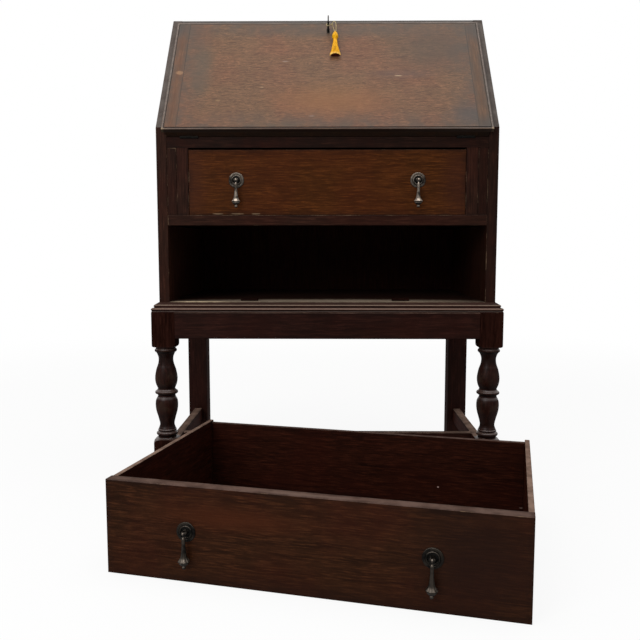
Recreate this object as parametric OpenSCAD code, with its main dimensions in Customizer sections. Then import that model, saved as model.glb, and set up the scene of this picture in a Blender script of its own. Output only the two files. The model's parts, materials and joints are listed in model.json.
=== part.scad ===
// Writing bureau on a turned stand: a slope-front case with a fall front, lopers,
// two long drawers and a nest of pigeonholes. Millimetres, +Z up, +Y towards the wall.
// The origin is on the floor, midway between the four legs.
// The lower drawer is out of its bay and lies on the floor in front.

/* [Stand] */
// Width over the legs
stand_w = 745; // [700:5:800]
// Depth over the legs
stand_d = 455; // [435:5:500]
// Height of the stand, up to the underside of the case
stand_h = 391; // [375:1:420]
// Side of the square leg blocks
leg_sq = 49; // [44:1:52]
// How far the stand stands proud of the case at the front and sides
overhang = 15; // [11:1:16]
// Height of the frieze rails
frieze_h = 56; // [45:1:60]
// Thickness of the frieze rails
rail_t = 24; // [20:1:28]
// Length of the upper leg block below the frieze
block_drop = 19; // [18:1:26]
// Height of the top of the lower leg block
block_top = 115; // [110:1:120]
// Height of the stretchers' top edge
stretcher_top = 94; // [84:1:98]
// Height of a stretcher
stretcher_h = 36; // [28:1:42]
// Thickness of a stretcher
stretcher_t = 19; // [16:1:22]
// Distance of the cross stretcher's middle behind the front leg blocks
cross_setback = 109; // [60:1:180]
// Thickness of a tenon
tenon_t = 9; // [7:1:11]
// Length of a tenon
tenon_l = 20; // [14:1:22]

/* [Case] */
// Overall height of the bureau
bureau_h = 1050; // [1030:5:1100]
// Thickness of the sides
side_t = 22; // [20:1:24]
// Thickness of the top board
top_t = 20; // [18:1:24]
// Thickness of the case floor
floor_t = 22; // [20:1:26]
// Height of the lower drawer's bay
lower_bay_h = 161; // [140:1:180]
// Height of the rail between the drawers
mid_rail_h = 22; // [18:1:26]
// Height of the upper drawer's opening
upper_bay_h = 139; // [120:1:150]
// Height of the slope's foot above the writing bed
slope_foot_rise = 20; // [19:1:22]
// Depth of the flat top
flat_top_d = 234; // [226:1:246]
// Depth of the rail in front of the writing bed
top_rail_d = 60; // [50:1:80]
// Depth of the rail between the drawers
mid_rail_d = 70; // [60:1:90]
// Thickness of the back boards
back_t = 9; // [7:1:12]
// Number of back boards
back_count = 5; // [4:1:7]
// Width of the upright beside a loper
muntin_w = 25; // [22:1:28]
// Depth of the upright beside a loper
muntin_d = 22; // [18:1:26]
// Width of a runner under the upper drawer
runner_w = 70; // [60:1:90]

/* [Fall front] */
// Thickness of the fall front
lid_t = 22; // [20:1:24]
// How far the fall front laps over the edge of the top board
lid_top_lap = 6.5; // [4:0.5:9]
// How far the fall front laps over each side
lid_lap = 8; // [7:1:12]
// Width of the bead worked round the fall front
bead_w = 6; // [5:1:8]
// Width of a cleat across the fall front's end, in front of the lap
cleat_w = 22; // [14:1:30]
// Clearance of the fall front in the case
lid_gap = 0.6; // [0.4:0.1:1]

/* [Lopers] */
// How far a loper pulls out
loper_travel = 240; // [200:5:260]
// Space behind a loper
loper_rear_gap = 33; // [10:1:50]

/* [Drawers] */
// Thickness of a drawer front
front_t = 22; // [18:1:24]
// Thickness of a drawer side
drawer_side_t = 9; // [8:1:12]
// Thickness of a drawer back
drawer_back_t = 10; // [8:1:12]
// Thickness of a drawer bottom
bottom_t = 6; // [4:1:8]
// Height of the groove for the bottom above the drawer's lower edge
groove_up = 9; // [7:1:14]
// How much lower the drawer back is than the sides
back_drop = 5; // [3:1:12]
// Clearance at each end of a drawer
drawer_gap = 0.8; // [0.5:0.1:1.5]
// Clearance above a drawer
drawer_head_gap = 4; // [2:0.5:5]
// Space behind a drawer
drawer_rear_gap = 4; // [3:1:30]
// Length of the dovetails
tail_l = 14; // [10:1:15]
// Sideways place of the loose drawer's middle
loose_x = -33; // [-60:1:40]
// How far the loose drawer's rear left corner reaches in under the case
loose_reach = 5; // [-60:1:20]
// Turn of the loose drawer on the floor, in degrees
loose_yaw = 14; // [0:0.5:18]

/* [Pulls] */
// Distance of the upper pulls from the middle of their drawer
upper_pull_x = 190; // [160:1:210]
// Distance of the lower pulls from the middle of their drawer
lower_pull_x = 194; // [160:1:210]
// Height of a pull's plate above the middle of the drawer front
pull_up = 4.5; // [0:0.5:8]
// Radius of a pull's round plate
plate_r = 16; // [14:0.5:18]
// Distance of the pull's pin from the drawer front
pin_out = 10.5; // [10.5:0.5:12]
// Radius of the pull's pin
pin_r = 1; // [0.8:0.1:1.2]
// Length of the hanging drop below its pin
drop_l = 57; // [50:1:60]
// Radius of the drop's bell
bell_r = 9.4; // [8:0.2:9.6]

/* [Hinges, lock and key] */
// Distance of a hinge from the middle of the fall front
hinge_x = 288; // [200:1:300]
// Length of a hinge
hinge_l = 38; // [34:1:50]
// Radius of a hinge knuckle
knuckle_r = 3; // [2.5:0.1:3.4]
// Radius of a hinge pin
hinge_pin_r = 1.25; // [1:0.05:1.4]
// Depth of a hinge leaf
leaf_d = 20; // [16:1:26]
// Thickness of a hinge leaf
leaf_t = 1.6; // [1.2:0.1:2]
// Sideways place of the lock
lock_x = 2; // [-6:1:6]
// Width of the lock's box
lock_w = 58; // [50:1:70]
// Height of the lock's box along the slope
lock_h = 36; // [34:1:42]
// Distance of the key's axis below the upper end of the lock
key_down = 23; // [21:1:25]
// Throw of the bolt
bolt_throw = 12; // [8:0.5:12]
// Radius of the key's shank
shank_r = 2.2; // [1.8:0.1:2.6]
// How far the key stands out of the fall front
key_out = 38; // [34:1:46]
// Outer radius of the key's bow
bow_r = 8.5; // [7:0.5:9]

/* [Tassel] */
// Diameter of the twisted cord
cord_d = 2.2; // [1.8:0.1:2.4]
// Length of the tassel's head
tassel_head_l = 26; // [22:1:30]
// Length of the tassel's skirt
tassel_skirt_l = 49; // [40:1:54]
// Radius of the tassel's head
tassel_head_r = 7; // [6:0.2:8]
// Radius of the skirt's hem
tassel_hem_r = 12.5; // [10:0.5:13]

/* [Pigeonholes] */
// Distance of the nest behind the flat top's front edge
nest_setback = 19; // [14:1:40]
// Thickness of the nest's boards
nest_t = 7; // [5:1:9]
// Height of the small drawers' row
nest_row_h = 62; // [50:1:80]
// Number of pigeonholes
pigeonholes = 5; // [4:1:7]
// Depth of a small drawer
nest_drawer_d = 165; // [140:1:175]
// Thickness of the small drawers' walls
nest_wall = 6; // [5:1:8]
// Clearance round a small drawer
nest_gap = 0.6; // [0.4:0.1:1]

/* [Hidden] */
$fn = 48;

// Colours of the finishes
oak = "#46291b";
oak_inside = "#6a4630";
brass = "#6b5836";
iron = "#4a4642";
silk = "#e2a018";
cord_beige = "#b9a680";

// Clearance of pieces that slide or lie on each other
slide_gap = 0.3;
// Joint line between glued boards of one node
glue_line = 0.1;
// Radial clearance of pins and shanks in their holes
pin_fit = 0.05;

// Case, in plan
case_front = -stand_d / 2 + overhang;
case_back = stand_d / 2;
case_d = case_back - case_front;
case_w = stand_w - 2 * overhang;
inner_w = case_w - 2 * side_t;
back_face = case_back - back_t;
rebate_w = side_t / 2;

// Case, in height
floor_top = stand_h + floor_t;
mid_bottom = floor_top + lower_bay_h;
mid_top = mid_bottom + mid_rail_h;
rail_bottom = mid_top + upper_bay_h;
bed_top = rail_bottom + lid_t;
slope_foot = bed_top + slope_foot_rise;
top_under = bureau_h - top_t;
slope_top_y = case_back - flat_top_d;
slope = atan2(bureau_h - slope_foot, slope_top_y - case_front);

// Fall front, in its own frame: x across, s up the slope from the hinge, t out of its inner face
lid_w = inner_w + 2 * lid_lap;
lap_under = slope_foot_rise * cos(slope) + slide_gap;
main_half = inner_w / 2 - lid_gap;
top_corner = [slope_top_y - case_front - top_t / tan(slope), top_under - bed_top];
lid_main_top = norm(top_corner) - lid_gap;
lid_len = lid_main_top + lid_top_lap;
lid_foot = 1;
key_s = lid_main_top - key_down;

// Upper opening, across
loper_slot_w = 20;
muntin_out = inner_w / 2 - loper_slot_w;
muntin_in = muntin_out - muntin_w;

// Drawers
lower_h = lower_bay_h - drawer_head_gap;
upper_h = upper_bay_h - drawer_head_gap;
lower_half = inner_w / 2 - drawer_gap;
upper_half = muntin_in - drawer_gap;
drawer_d = case_d - back_t - drawer_rear_gap;
groove_d = drawer_side_t / 2;
loose_y = case_front + loose_reach - lower_half * sin(loose_yaw) - drawer_d * cos(loose_yaw);

// Pigeonholes
nest_front = slope_top_y + nest_setback;
nest_d = back_face - nest_front;
nest_shelf = bed_top + nest_row_h;
nest_cell = (inner_w - 2 * nest_t) / 3;

// Points of an arc about c with radius r, from angle a to angle b
function arc(c, r, a, b, n = 8) =
    [for (i = [0:n]) c + r * [cos(a + (b - a) * i / n), sin(a + (b - a) * i / n)]];

// A smooth curve through the points p, with n steps between neighbours
function curve(p, n) = concat(
    [for (i = [0:len(p) - 2])
        let (a = p[max(i - 1, 0)], b = p[i], c = p[i + 1], d = p[min(i + 2, len(p) - 1)])
        for (k = [0:n - 1])
            let (t = k / n)
            (2 * b + (c - a) * t + (2 * a - 5 * b + 4 * c - d) * t * t
                + (3 * b - a - 3 * c + d) * t * t * t) / 2],
    [p[len(p) - 1]]);

// A board from its low corner to its high corner
module board(low, high) {
    translate(low) cube(high - low);
}

// A piece and its mirror image on the other side of the middle
module both_sides() {
    children();
    mirror([1, 0, 0]) children();
}

// Extrudes an outline drawn in depth and height, from x by a thickness t
module extrude_across(x, t) {
    translate([x, 0, 0]) rotate([90, 0, 90]) linear_extrude(t) children();
}

// The case

module side_outline() {
    polygon([
        [case_front, stand_h], [case_back, stand_h], [case_back, bureau_h],
        [slope_top_y, bureau_h], [case_front, slope_foot]]);
}

module side_board() {
    difference() {
        extrude_across(inner_w / 2, side_t) side_outline();
        board([inner_w / 2 - 1, back_face, stand_h - 1],
            [inner_w / 2 + rebate_w, case_back + 1, bureau_h - top_t]);
    }
}

module side_left() { color(oak) mirror([1, 0, 0]) side_board(); }
module side_right() { color(oak) side_board(); }

// The pocket in the top board that takes the bolt
module bolt_pocket() {
    in_lid()
        board([lock_x - bolt_w / 2 - 0.5, lid_main_top - 4, bolt_in - 0.5],
            [lock_x + bolt_w / 2 + 0.5, lid_main_top + bolt_throw + 2, bolt_in + bolt_t + 0.5]);
}

module top_board() {
    color(oak) difference() {
        intersection() {
            extrude_across(-inner_w / 2, inner_w) side_outline();
            board([-inner_w, case_front, top_under], [inner_w, case_back, bureau_h]);
        }
        bolt_pocket();
        strike_body();
        screws_at(strike_screws);
    }
}

// Boards side by side, each with a tongue along one edge that fills the next one's groove
module back_boards() {
    half = inner_w / 2 + rebate_w;
    step = 2 * half / back_count;
    board_gap = 0.6;
    tongue_w = 4;
    tongue_y = back_face + back_t / 3;
    color(oak_inside)
        for (i = [0:back_count - 1]) {
            x0 = -half + i * step + board_gap / 2;
            x1 = -half + (i + 1) * step - board_gap / 2;
            difference() {
                union() {
                    board([x0, back_face, stand_h], [x1, case_back, top_under]);
                    if (i < back_count - 1)
                        board([x1 - tongue_w, tongue_y, stand_h],
                            [x1 + tongue_w, tongue_y + back_t / 3, top_under]);
                }
                if (i > 0)
                    board([x0 - board_gap, tongue_y - glue_line, stand_h - 1],
                        [x0 + tongue_w, tongue_y + back_t / 3 + glue_line, top_under + 1]);
            }
        }
}

module case_floor() {
    color(oak) board([-inner_w / 2, case_front, stand_h], [inner_w / 2, back_face, floor_top]);
}

module mid_rail() {
    color(oak)
        board([-inner_w / 2, case_front, mid_bottom],
            [inner_w / 2, case_front + mid_rail_d, mid_top]);
}

module drawer_runners() {
    color(oak_inside) both_sides()
        board([inner_w / 2 - runner_w, case_front + mid_rail_d, mid_bottom],
            [inner_w / 2, back_face, mid_top]);
}

module top_rail() {
    color(oak) difference() {
        board([-inner_w / 2, case_front, rail_bottom],
            [inner_w / 2, case_front + top_rail_d, bed_top]);
        hinge_seats();
        screws_at(bed_screws);
    }
}

module writing_bed() {
    color(oak_inside)
        board([-inner_w / 2, case_front + top_rail_d, rail_bottom],
            [inner_w / 2, back_face, bed_top]);
}

module muntins() {
    color(oak) both_sides()
        board([muntin_in, case_front, mid_top], [muntin_out, case_front + muntin_d, rail_bottom]);
}

// Stops under the fall front's lopers and the drawers
peg_y = case_front + 60;
peg_z = (mid_top + rail_bottom) / 2;
peg_r = 4;
peg_l = 4;

module loper_guides() {
    color(oak_inside) both_sides() {
        board([muntin_in, case_front + muntin_d, mid_top], [muntin_out, back_face, rail_bottom]);
        translate([muntin_out, peg_y, peg_z]) rotate([0, 90, 0]) cylinder(r = peg_r, h = peg_l);
    }
}

// Two thin blocks under each drawer, which its front meets when it is shut
stop_places = [-168, 159];
stop_l = 36;
stop_d = 22;
stop_t = 5;
module drawer_stops() {
    y = case_front + front_t + slide_gap;
    color(oak_inside)
        for (z = [floor_top, mid_top]) for (x = stop_places)
            board([x - stop_l / 2, y, z], [x + stop_l / 2, y + stop_d, z + stop_t]);
}

// The stand

// Outline of the moulding round the case's foot: out from the case, up from the stand
module moulding_outline() {
    upper = 10;
    fillet = overhang - 0.6;
    arris_r = 1;
    polygon(concat(
        [[0, 0], [fillet, 0], [fillet, 2.4], [fillet - 1.2, 3]],
        arc([overhang - 3.2, 6.2], 3.2, -55, 75, 8),
        [[upper - 1, 10], [upper - 1, 11.2], [upper, 11.6]],
        arc([upper - arris_r, 14.6], arris_r, 0, 55, 4),
        [[0.6, floor_t - 1], [0, floor_t - 1]]));
}

// One length of moulding along +X at the front, mitred at both ends
module moulding_front() {
    long = case_w + 4 * overhang;
    out = 2 * overhang;
    intersection() {
        translate([-long / 2, case_front, stand_h]) rotate([90, 0, 90])
            linear_extrude(long) mirror([1, 0]) moulding_outline();
        linear_extrude(stand_h + floor_t) polygon([
            [-case_w / 2, case_front], [case_w / 2, case_front],
            [case_w / 2 + out, case_front - out], [-case_w / 2 - out, case_front - out]]);
    }
}

// The length along the right side, mitred at its front end
module moulding_side() {
    out = 2 * overhang;
    intersection() {
        translate([case_w / 2, case_back, stand_h]) rotate([90, 0, 0])
            linear_extrude(case_d + out) moulding_outline();
        linear_extrude(stand_h + floor_t) polygon([
            [case_w / 2, case_front + glue_line], [case_w / 2 + out, case_front - out + glue_line],
            [case_w / 2 + out, case_back], [case_w / 2, case_back]]);
    }
}

module stand_moulding() {
    color(oak) {
        moulding_front();
        both_sides() moulding_side();
    }
}

frieze_bottom = stand_h - frieze_h;
tenon_inset = 8;

// A rail along X from one end to the other with a tenon at each end
module rail_x(x0, x1, y, t, z0, z1) {
    board([x0, y, z0], [x1, y + t, z1]);
    board([x0 - tenon_l, y + t / 2 - tenon_t / 2, z0 + tenon_inset],
        [x1 + tenon_l, y + t / 2 + tenon_t / 2, z1 - tenon_inset]);
}

// A rail along Y in the same way
module rail_y(y0, y1, x, t, z0, z1) {
    board([x, y0, z0], [x + t, y1, z1]);
    board([x + t / 2 - tenon_t / 2, y0 - tenon_l, z0 + tenon_inset],
        [x + t / 2 + tenon_t / 2, y1 + tenon_l, z1 - tenon_inset]);
}

leg_in_x = stand_w / 2 - leg_sq;
leg_in_y = stand_d / 2 - leg_sq;

// A long frieze rail, with its outer face flush with the legs
module frieze_x(y) {
    rail_x(-leg_in_x, leg_in_x, y, rail_t, frieze_bottom, stand_h);
}

// A short frieze rail
module frieze_y() {
    rail_y(-leg_in_y, leg_in_y, stand_w / 2 - rail_t, rail_t, frieze_bottom, stand_h);
}

module frieze_front() { color(oak) frieze_x(-stand_d / 2); }
module frieze_back() { color(oak) frieze_x(stand_d / 2 - rail_t); }
module frieze_right() { color(oak) frieze_y(); }
module frieze_left() { color(oak) mirror([1, 0, 0]) frieze_y(); }

stretcher_x = (stand_w - leg_sq - stretcher_t) / 2;
cross_y = -leg_in_y + cross_setback;

module side_stretcher() {
    difference() {
        rail_y(-leg_in_y, leg_in_y, stretcher_x, stretcher_t, stretcher_top - stretcher_h,
            stretcher_top);
        cross_rail();
    }
}

// The cross stretcher, with short tenons into the side stretchers
module cross_rail() {
    short = tenon_l - stretcher_t / 2;
    translate([0, cross_y - stretcher_t / 2, 0]) {
        board([-stretcher_x, 0, stretcher_top - stretcher_h], [stretcher_x, stretcher_t, stretcher_top]);
        board([-stretcher_x - short, (stretcher_t - tenon_t) / 2, stretcher_top - stretcher_h + tenon_inset],
            [stretcher_x + short, (stretcher_t + tenon_t) / 2, stretcher_top - tenon_inset]);
    }
}

module stretcher_right() { color(oak) side_stretcher(); }
module stretcher_left() { color(oak) mirror([1, 0, 0]) side_stretcher(); }
module stretcher_cross() { color(oak) cross_rail(); }

// Mortises for every rail that enters a leg
module mortises() {
    frieze_x(-stand_d / 2);
    frieze_x(stand_d / 2 - rail_t);
    both_sides() {
        frieze_y();
        rail_y(-leg_in_y, leg_in_y, stretcher_x, stretcher_t, stretcher_top - stretcher_h,
            stretcher_top);
    }
}

// Outline of the turned front leg, as radius and height. The blocks are left square
// because the turning is wider than they are there.
block_bottom = frieze_bottom - block_drop;
leg_r = leg_sq / 2;
turned_h = block_bottom - block_top;
function level(f) = block_top + turned_h * f;

module leg_turning() {
    wide = leg_sq;
    corner = wide / 2 * sqrt(2);
    shoulder = 7;
    foot_shoulder = 9;
    collar = 4;
    ring = 3.6;
    foot_ring = 4;
    foot_bead = 2.2;
    upper_vase = curve([
        [leg_r - 5.8, level(0.925)], [leg_r - 8.8, level(0.88)], [leg_r - 8, level(0.82)],
        [leg_r - 3.4, level(0.75)], [leg_r - 0.6, level(0.665)], [leg_r - 2, level(0.60)],
        [leg_r - 6.4, level(0.545)]], 5);
    lower_vase = curve([
        [leg_r - 5.6, level(0.46)], [leg_r - 1.6, level(0.42)], [leg_r - 0.5, level(0.365)],
        [leg_r - 2, level(0.30)], [leg_r - 6.2, level(0.225)], [leg_r - 9, level(0.155)],
        [leg_r - 6.4, level(0.11)]], 5);
    rotate_extrude($fn = 64) polygon(concat(
        [[0, 0], [wide, 0], [wide, block_top - foot_shoulder],
            [corner, block_top - foot_shoulder]],
        arc([corner - foot_shoulder, block_top - foot_shoulder], foot_shoulder, 0, 70, 5),
        [[leg_r - 3.4, block_top], [leg_r - 5.4, block_top + 3]],
        arc([leg_r - foot_ring - 1.4, level(0.055)], foot_ring, -75, 75, 8),
        [[leg_r - 5.8, level(0.078)]],
        arc([leg_r - foot_bead - 4.6, level(0.092)], foot_bead, -70, 80, 6),
        [for (i = [len(lower_vase) - 1:-1:0]) lower_vase[i]],
        [[leg_r - 6, level(0.475)]],
        arc([leg_r - ring, level(0.505)], ring, -80, 80, 8),
        [for (i = [len(upper_vase) - 1:-1:0]) upper_vase[i]],
        [[leg_r - 4.8, level(0.935)]],
        arc([leg_r - collar - 0.8, level(0.96)], collar, -70, 70, 6),
        [[leg_r - 3.4, level(0.99)], [leg_r - 3, block_bottom]],
        arc([corner - shoulder, block_bottom + shoulder], shoulder, -70, 0, 5),
        [[wide, block_bottom + shoulder], [wide, stand_h], [0, stand_h]]));
}

module front_leg() {
    difference() {
        intersection() {
            translate([(stand_w - leg_sq) / 2, (leg_sq - stand_d) / 2, 0]) leg_turning();
            board([leg_in_x, -stand_d / 2, 0], [stand_w / 2, -leg_in_y, stand_h]);
        }
        mortises();
    }
}

module back_leg() {
    difference() {
        board([leg_in_x, leg_in_y, 0], [stand_w / 2, stand_d / 2, stand_h]);
        mortises();
    }
}

module leg_front_right() { color(oak) front_leg(); }
module leg_front_left() { color(oak) mirror([1, 0, 0]) front_leg(); }
module leg_back_right() { color(oak) back_leg(); }
module leg_back_left() { color(oak) mirror([1, 0, 0]) back_leg(); }

// The nest of pigeonholes

module nest_boards() {
    high = top_under - glue_line;
    hole_w = (inner_w - (pigeonholes - 1) * nest_t) / pigeonholes;
    color(oak_inside) {
        board([-inner_w / 2, nest_front, nest_shelf], [inner_w / 2, back_face, nest_shelf + nest_t]);
        both_sides()
            board([nest_cell / 2, nest_front, bed_top],
                [nest_cell / 2 + nest_t, back_face, nest_shelf - glue_line]);
        for (i = [1:pigeonholes - 1])
            translate([-inner_w / 2 + i * hole_w + (i - 1) * nest_t, 0, 0])
                board([0, nest_front, nest_shelf + nest_t + glue_line], [nest_t, back_face, high]);
    }
}

// A small drawer as one box, with its turned knob
module nest_drawer() {
    low = [nest_cell / 2 + nest_t + nest_gap, nest_front, bed_top + slide_gap];
    high = [inner_w / 2 - nest_gap, nest_front + nest_drawer_d, nest_shelf - nest_gap];
    mid = (low + high) / 2;
    difference() {
        board(low, high);
        board(low + [nest_wall, 2 * nest_wall, nest_wall / 2], high - [nest_wall, nest_wall, -1]);
    }
    translate([mid[0], nest_front + 2, mid[2]]) rotate([90, 0, 0]) rotate_extrude($fn = 32)
        polygon(concat([[0, 0], [2.6, 0], [2.6, 5]], arc([2.8, 9], 3.8, -80, 90, 8), [[0, 12.8]]));
}

module nest_drawer_right() { color(oak_inside) nest_drawer(); }
module nest_drawer_left() { color(oak_inside) mirror([1, 0, 0]) nest_drawer(); }

// Hinges

// Moves a piece drawn in the fall front's frame to its closed place
module in_lid() {
    translate([0, case_front, bed_top]) rotate([slope, 0, 0]) children();
}

third = hinge_l / 3;
hinge_play = 0.2;

// A length of hinge knuckle on the hinge line, from x0 to x1, bored for the pin
module knuckle(x0, x1) {
    translate([x0, 0, 0]) rotate([0, 90, 0]) difference() {
        cylinder(r = knuckle_r, h = x1 - x0);
        translate([0, 0, -1]) cylinder(r = hinge_pin_r + pin_fit, h = x1 - x0 + 2);
    }
}

// The fixed leaf lies in the top rail: its plate and two outer knuckles
module fixed_leaf() {
    difference() {
        board([hinge_x - hinge_l / 2, 0, -leaf_t], [hinge_x + hinge_l / 2, leaf_d, 0]);
        translate([hinge_x - hinge_l / 2 - 1, 0, 0]) rotate([0, 90, 0])
            cylinder(r = knuckle_r - 0.2, h = hinge_l + 2);
        board([hinge_x - third / 2 - hinge_play, -1, -knuckle_r],
            [hinge_x + third / 2 + hinge_play, knuckle_r + hinge_play, knuckle_r]);
    }
    knuckle(hinge_x - hinge_l / 2, hinge_x - third / 2 - hinge_play);
    knuckle(hinge_x + third / 2 + hinge_play, hinge_x + hinge_l / 2);
}

module hinge_leaves_fixed() {
    color(brass) difference() {
        translate([0, case_front, bed_top]) both_sides() fixed_leaf();
        screws_at(bed_screws);
    }
}

// The moving leaf lies in the fall front: its plate and the middle knuckle
module moving_leaf() {
    difference() {
        board([hinge_x - hinge_l / 2, 0, 0], [hinge_x + hinge_l / 2, leaf_d, leaf_t]);
        translate([hinge_x - hinge_l / 2 - 1, 0, 0]) rotate([0, 90, 0])
            cylinder(r = knuckle_r - 0.2, h = hinge_l + 2);
        for (side = [-1, 1])
            translate([hinge_x + side * (third / 2 + third / 2 + hinge_play), 0, 0])
                board([-third / 2 - 2 * hinge_play, -1, -knuckle_r],
                    [third / 2 + 2 * hinge_play, knuckle_r + hinge_play, knuckle_r]);
    }
    knuckle(hinge_x - third / 2, hinge_x + third / 2);
}

module hinge_leaves_moving() {
    color(brass) difference() {
        in_lid() both_sides() moving_leaf();
        in_lid() screws_at(lid_screws_list);
    }
}

module hinge_pins() {
    color(iron) translate([0, case_front, bed_top]) both_sides()
        translate([hinge_x - hinge_l / 2, 0, 0]) rotate([0, 90, 0])
            cylinder(r = hinge_pin_r, h = hinge_l);
}

// Room in the wood for the leaves and knuckles, at the top rail and at the fall front
knuckle_room = knuckle_r + 0.3;

module knuckle_seat() {
    translate([hinge_x - hinge_l / 2 - hinge_play, 0, 0]) rotate([0, 90, 0])
        cylinder(r = knuckle_room, h = hinge_l + 2 * hinge_play);
}

module hinge_seats() {
    translate([0, case_front, bed_top]) both_sides() {
        board([hinge_x - hinge_l / 2, -1, -leaf_t], [hinge_x + hinge_l / 2, leaf_d, 1]);
        knuckle_seat();
    }
}

module lid_hinge_seats() {
    both_sides() {
        board([hinge_x - hinge_l / 2, -1, -1], [hinge_x + hinge_l / 2, leaf_d, leaf_t]);
        knuckle_seat();
    }
}

// Screws, each given as the middle of its head's face and the turn about X that points it inwards

screw_head_r = 2.8;
screw_shank_r = 1.4;
screw_l = 12;

// A countersunk screw whose head faces +Z
module screw() {
    rotate_extrude($fn = 24) polygon([
        [0, 0], [screw_head_r, 0], [screw_shank_r, -(screw_head_r - screw_shank_r)],
        [screw_shank_r, -screw_l + 2], [0, -screw_l]]);
}

module screws_at(places) {
    for (p = places) translate(p[0]) rotate([p[1], 0, 0]) screw();
}

leaf_screw_y = leaf_d - 6;
bed_screws = [
    for (side = [-1, 1]) for (dx = [-1, 1])
        [[side * hinge_x + dx * (hinge_l / 2 - 7), case_front + leaf_screw_y, bed_top], 0]];
lid_leaf_screws = [
    for (side = [-1, 1]) for (dx = [-1, 1])
        [[side * hinge_x + dx * (hinge_l / 2 - 7), leaf_screw_y, 0], 180]];

// Lock, bolt and strike

lock_in = -0.3;
lock_t = 11;
lock_wall = 1.5;
lock_rim = 2;
bolt_w = 20;
bolt_t = 4;
bolt_in = 2.6;
bit_r = 7;
bit_t = 2;
bolt_foot = key_s + bit_r + 0.6;
selvedge_over = 9;

lock_screw_list = [
    for (dx = [-1, 1])
        [[lock_x + dx * (lock_w / 2 + selvedge_over / 2 + 1), lid_main_top - 5 - lock_rim, lock_in], 180]];
lid_screws_list = concat(lid_leaf_screws, lock_screw_list);

// The lock's outer shape: the box, the plate across the fall front's upper edge and two ears
module lock_body() {
    board([lock_x - lock_w / 2, lid_main_top - lock_h, lock_in],
        [lock_x + lock_w / 2, lid_main_top, lock_in + lock_t]);
    board([lock_x - lock_w / 2 - selvedge_over, lid_main_top - 14, lock_in],
        [lock_x + lock_w / 2 + selvedge_over, lid_main_top, lock_in + lock_rim]);
}

// The keyhole: a round hole with a slot for the bit
module keyhole(t0, t1, play) {
    translate([lock_x, key_s, t0]) cylinder(r = shank_r + play, h = t1 - t0, $fn = 32);
    board([lock_x - bit_t / 2 - play, key_s - bit_r - play, t0], [lock_x + bit_t / 2 + play, key_s, t1]);
}

module lock_case() {
    color(iron) in_lid() difference() {
        lock_body();
        board([lock_x - lock_w / 2 + lock_wall, lid_main_top - lock_h + lock_wall, lock_in + lock_wall],
            [lock_x + lock_w / 2 - lock_wall, lid_main_top - lock_rim, lock_in + lock_t - lock_wall]);
        board([lock_x - bolt_w / 2 - 0.2, lid_main_top - lock_rim - 1, bolt_in - 0.2],
            [lock_x + bolt_w / 2 + 0.2, lid_main_top + 1, bolt_in + bolt_t + 0.2]);
        keyhole(lock_in + lock_t - 2 * lock_wall, lock_in + lock_t + 1, 0.3);
        screws_at(lid_screws_list);
    }
}

module lock_bolt() {
    color(iron) in_lid()
        board([lock_x - bolt_w / 2, bolt_foot, bolt_in],
            [lock_x + bolt_w / 2, lid_main_top - 0.2, bolt_in + bolt_t]);
}

strike_t = 1.5;
strike_d = 20;
strike_front = case_front + top_corner[0] + 2.5;
strike_screws = [
    for (dx = [-1, 1])
        [[lock_x + dx * (bolt_w / 2 + 9), strike_front + strike_d / 2, top_under], 180]];

module strike_body() {
    board([lock_x - bolt_w / 2 - 16, strike_front, top_under],
        [lock_x + bolt_w / 2 + 16, strike_front + strike_d, top_under + strike_t]);
}

module strike_plate() {
    color(brass) difference() {
        strike_body();
        bolt_pocket();
        screws_at(strike_screws);
    }
}

module case_screws() {
    color(iron) {
        screws_at(bed_screws);
        screws_at(strike_screws);
    }
}

module lid_screws() {
    color(iron) in_lid() screws_at(lid_screws_list);
}

// The inlaid metal thread round the keyhole
escutcheon_t = 3;
escutcheon_wall = 1.6;

module keyhole_outline(grow) {
    translate([lock_x, key_s]) circle(r = shank_r + 0.6 + grow, $fn = 32);
    translate([lock_x, key_s]) polygon([
        [-bit_t / 2 - 0.4 - grow * 0.6, 0], [bit_t / 2 + 0.4 + grow * 0.6, 0],
        [bit_t / 2 + 0.8 + grow, -bit_r - 0.8 - grow], [-bit_t / 2 - 0.8 - grow, -bit_r - 0.8 - grow]]);
}

module escutcheon() {
    color(brass) in_lid() translate([0, 0, lid_t - escutcheon_t]) difference() {
        linear_extrude(escutcheon_t + 0.4) keyhole_outline(escutcheon_wall);
        translate([0, 0, -1]) linear_extrude(escutcheon_t + 3) keyhole_outline(0);
    }
}

module escutcheon_seat() {
    translate([0, 0, lid_t - escutcheon_t])
        linear_extrude(escutcheon_t + 1) keyhole_outline(escutcheon_wall);
}

// The key: shank, bit, collar and ring bow. It turns about the shank.
bow_hole_r = 5.5;
bow_t = 2.6;
key_tip = lock_in + lock_wall + 0.4;

module key() {
    bow_mid = lid_t + key_out - bow_r;
    color(iron) in_lid() translate([lock_x, key_s, 0]) {
        translate([0, 0, key_tip])
            cylinder(r = shank_r, h = bow_mid - bow_hole_r - 0.5 - key_tip, $fn = 32);
        board([-bit_t / 2, -bit_r, key_tip + 0.6], [bit_t / 2, 0, lock_in + lock_t - lock_wall - 0.4]);
        translate([0, 0, lid_t + 4]) rotate_extrude($fn = 32)
            polygon(concat([[0, -1.4]], arc([shank_r, 0], 1.4, -90, 90, 6), [[0, 1.4]]));
        translate([-bow_t / 2, 0, bow_mid]) rotate([0, 90, 0]) difference() {
            cylinder(r = bow_r, h = bow_t);
            translate([0, 0, -1]) cylinder(r = bow_hole_r, h = bow_t + 2);
        }
    }
}

// Fall front

// Room for all the metalwork let into the fall front
module lid_recesses() {
    lid_hinge_seats();
    lock_body();
    keyhole(lock_in, lid_t + 1, 0.4);
    escutcheon_seat();
    screws_at(lid_screws_list);
}

field_half = lid_w / 2 - bead_w;
field_top = lid_len - bead_w;
cleat_in = main_half - cleat_w;

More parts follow.
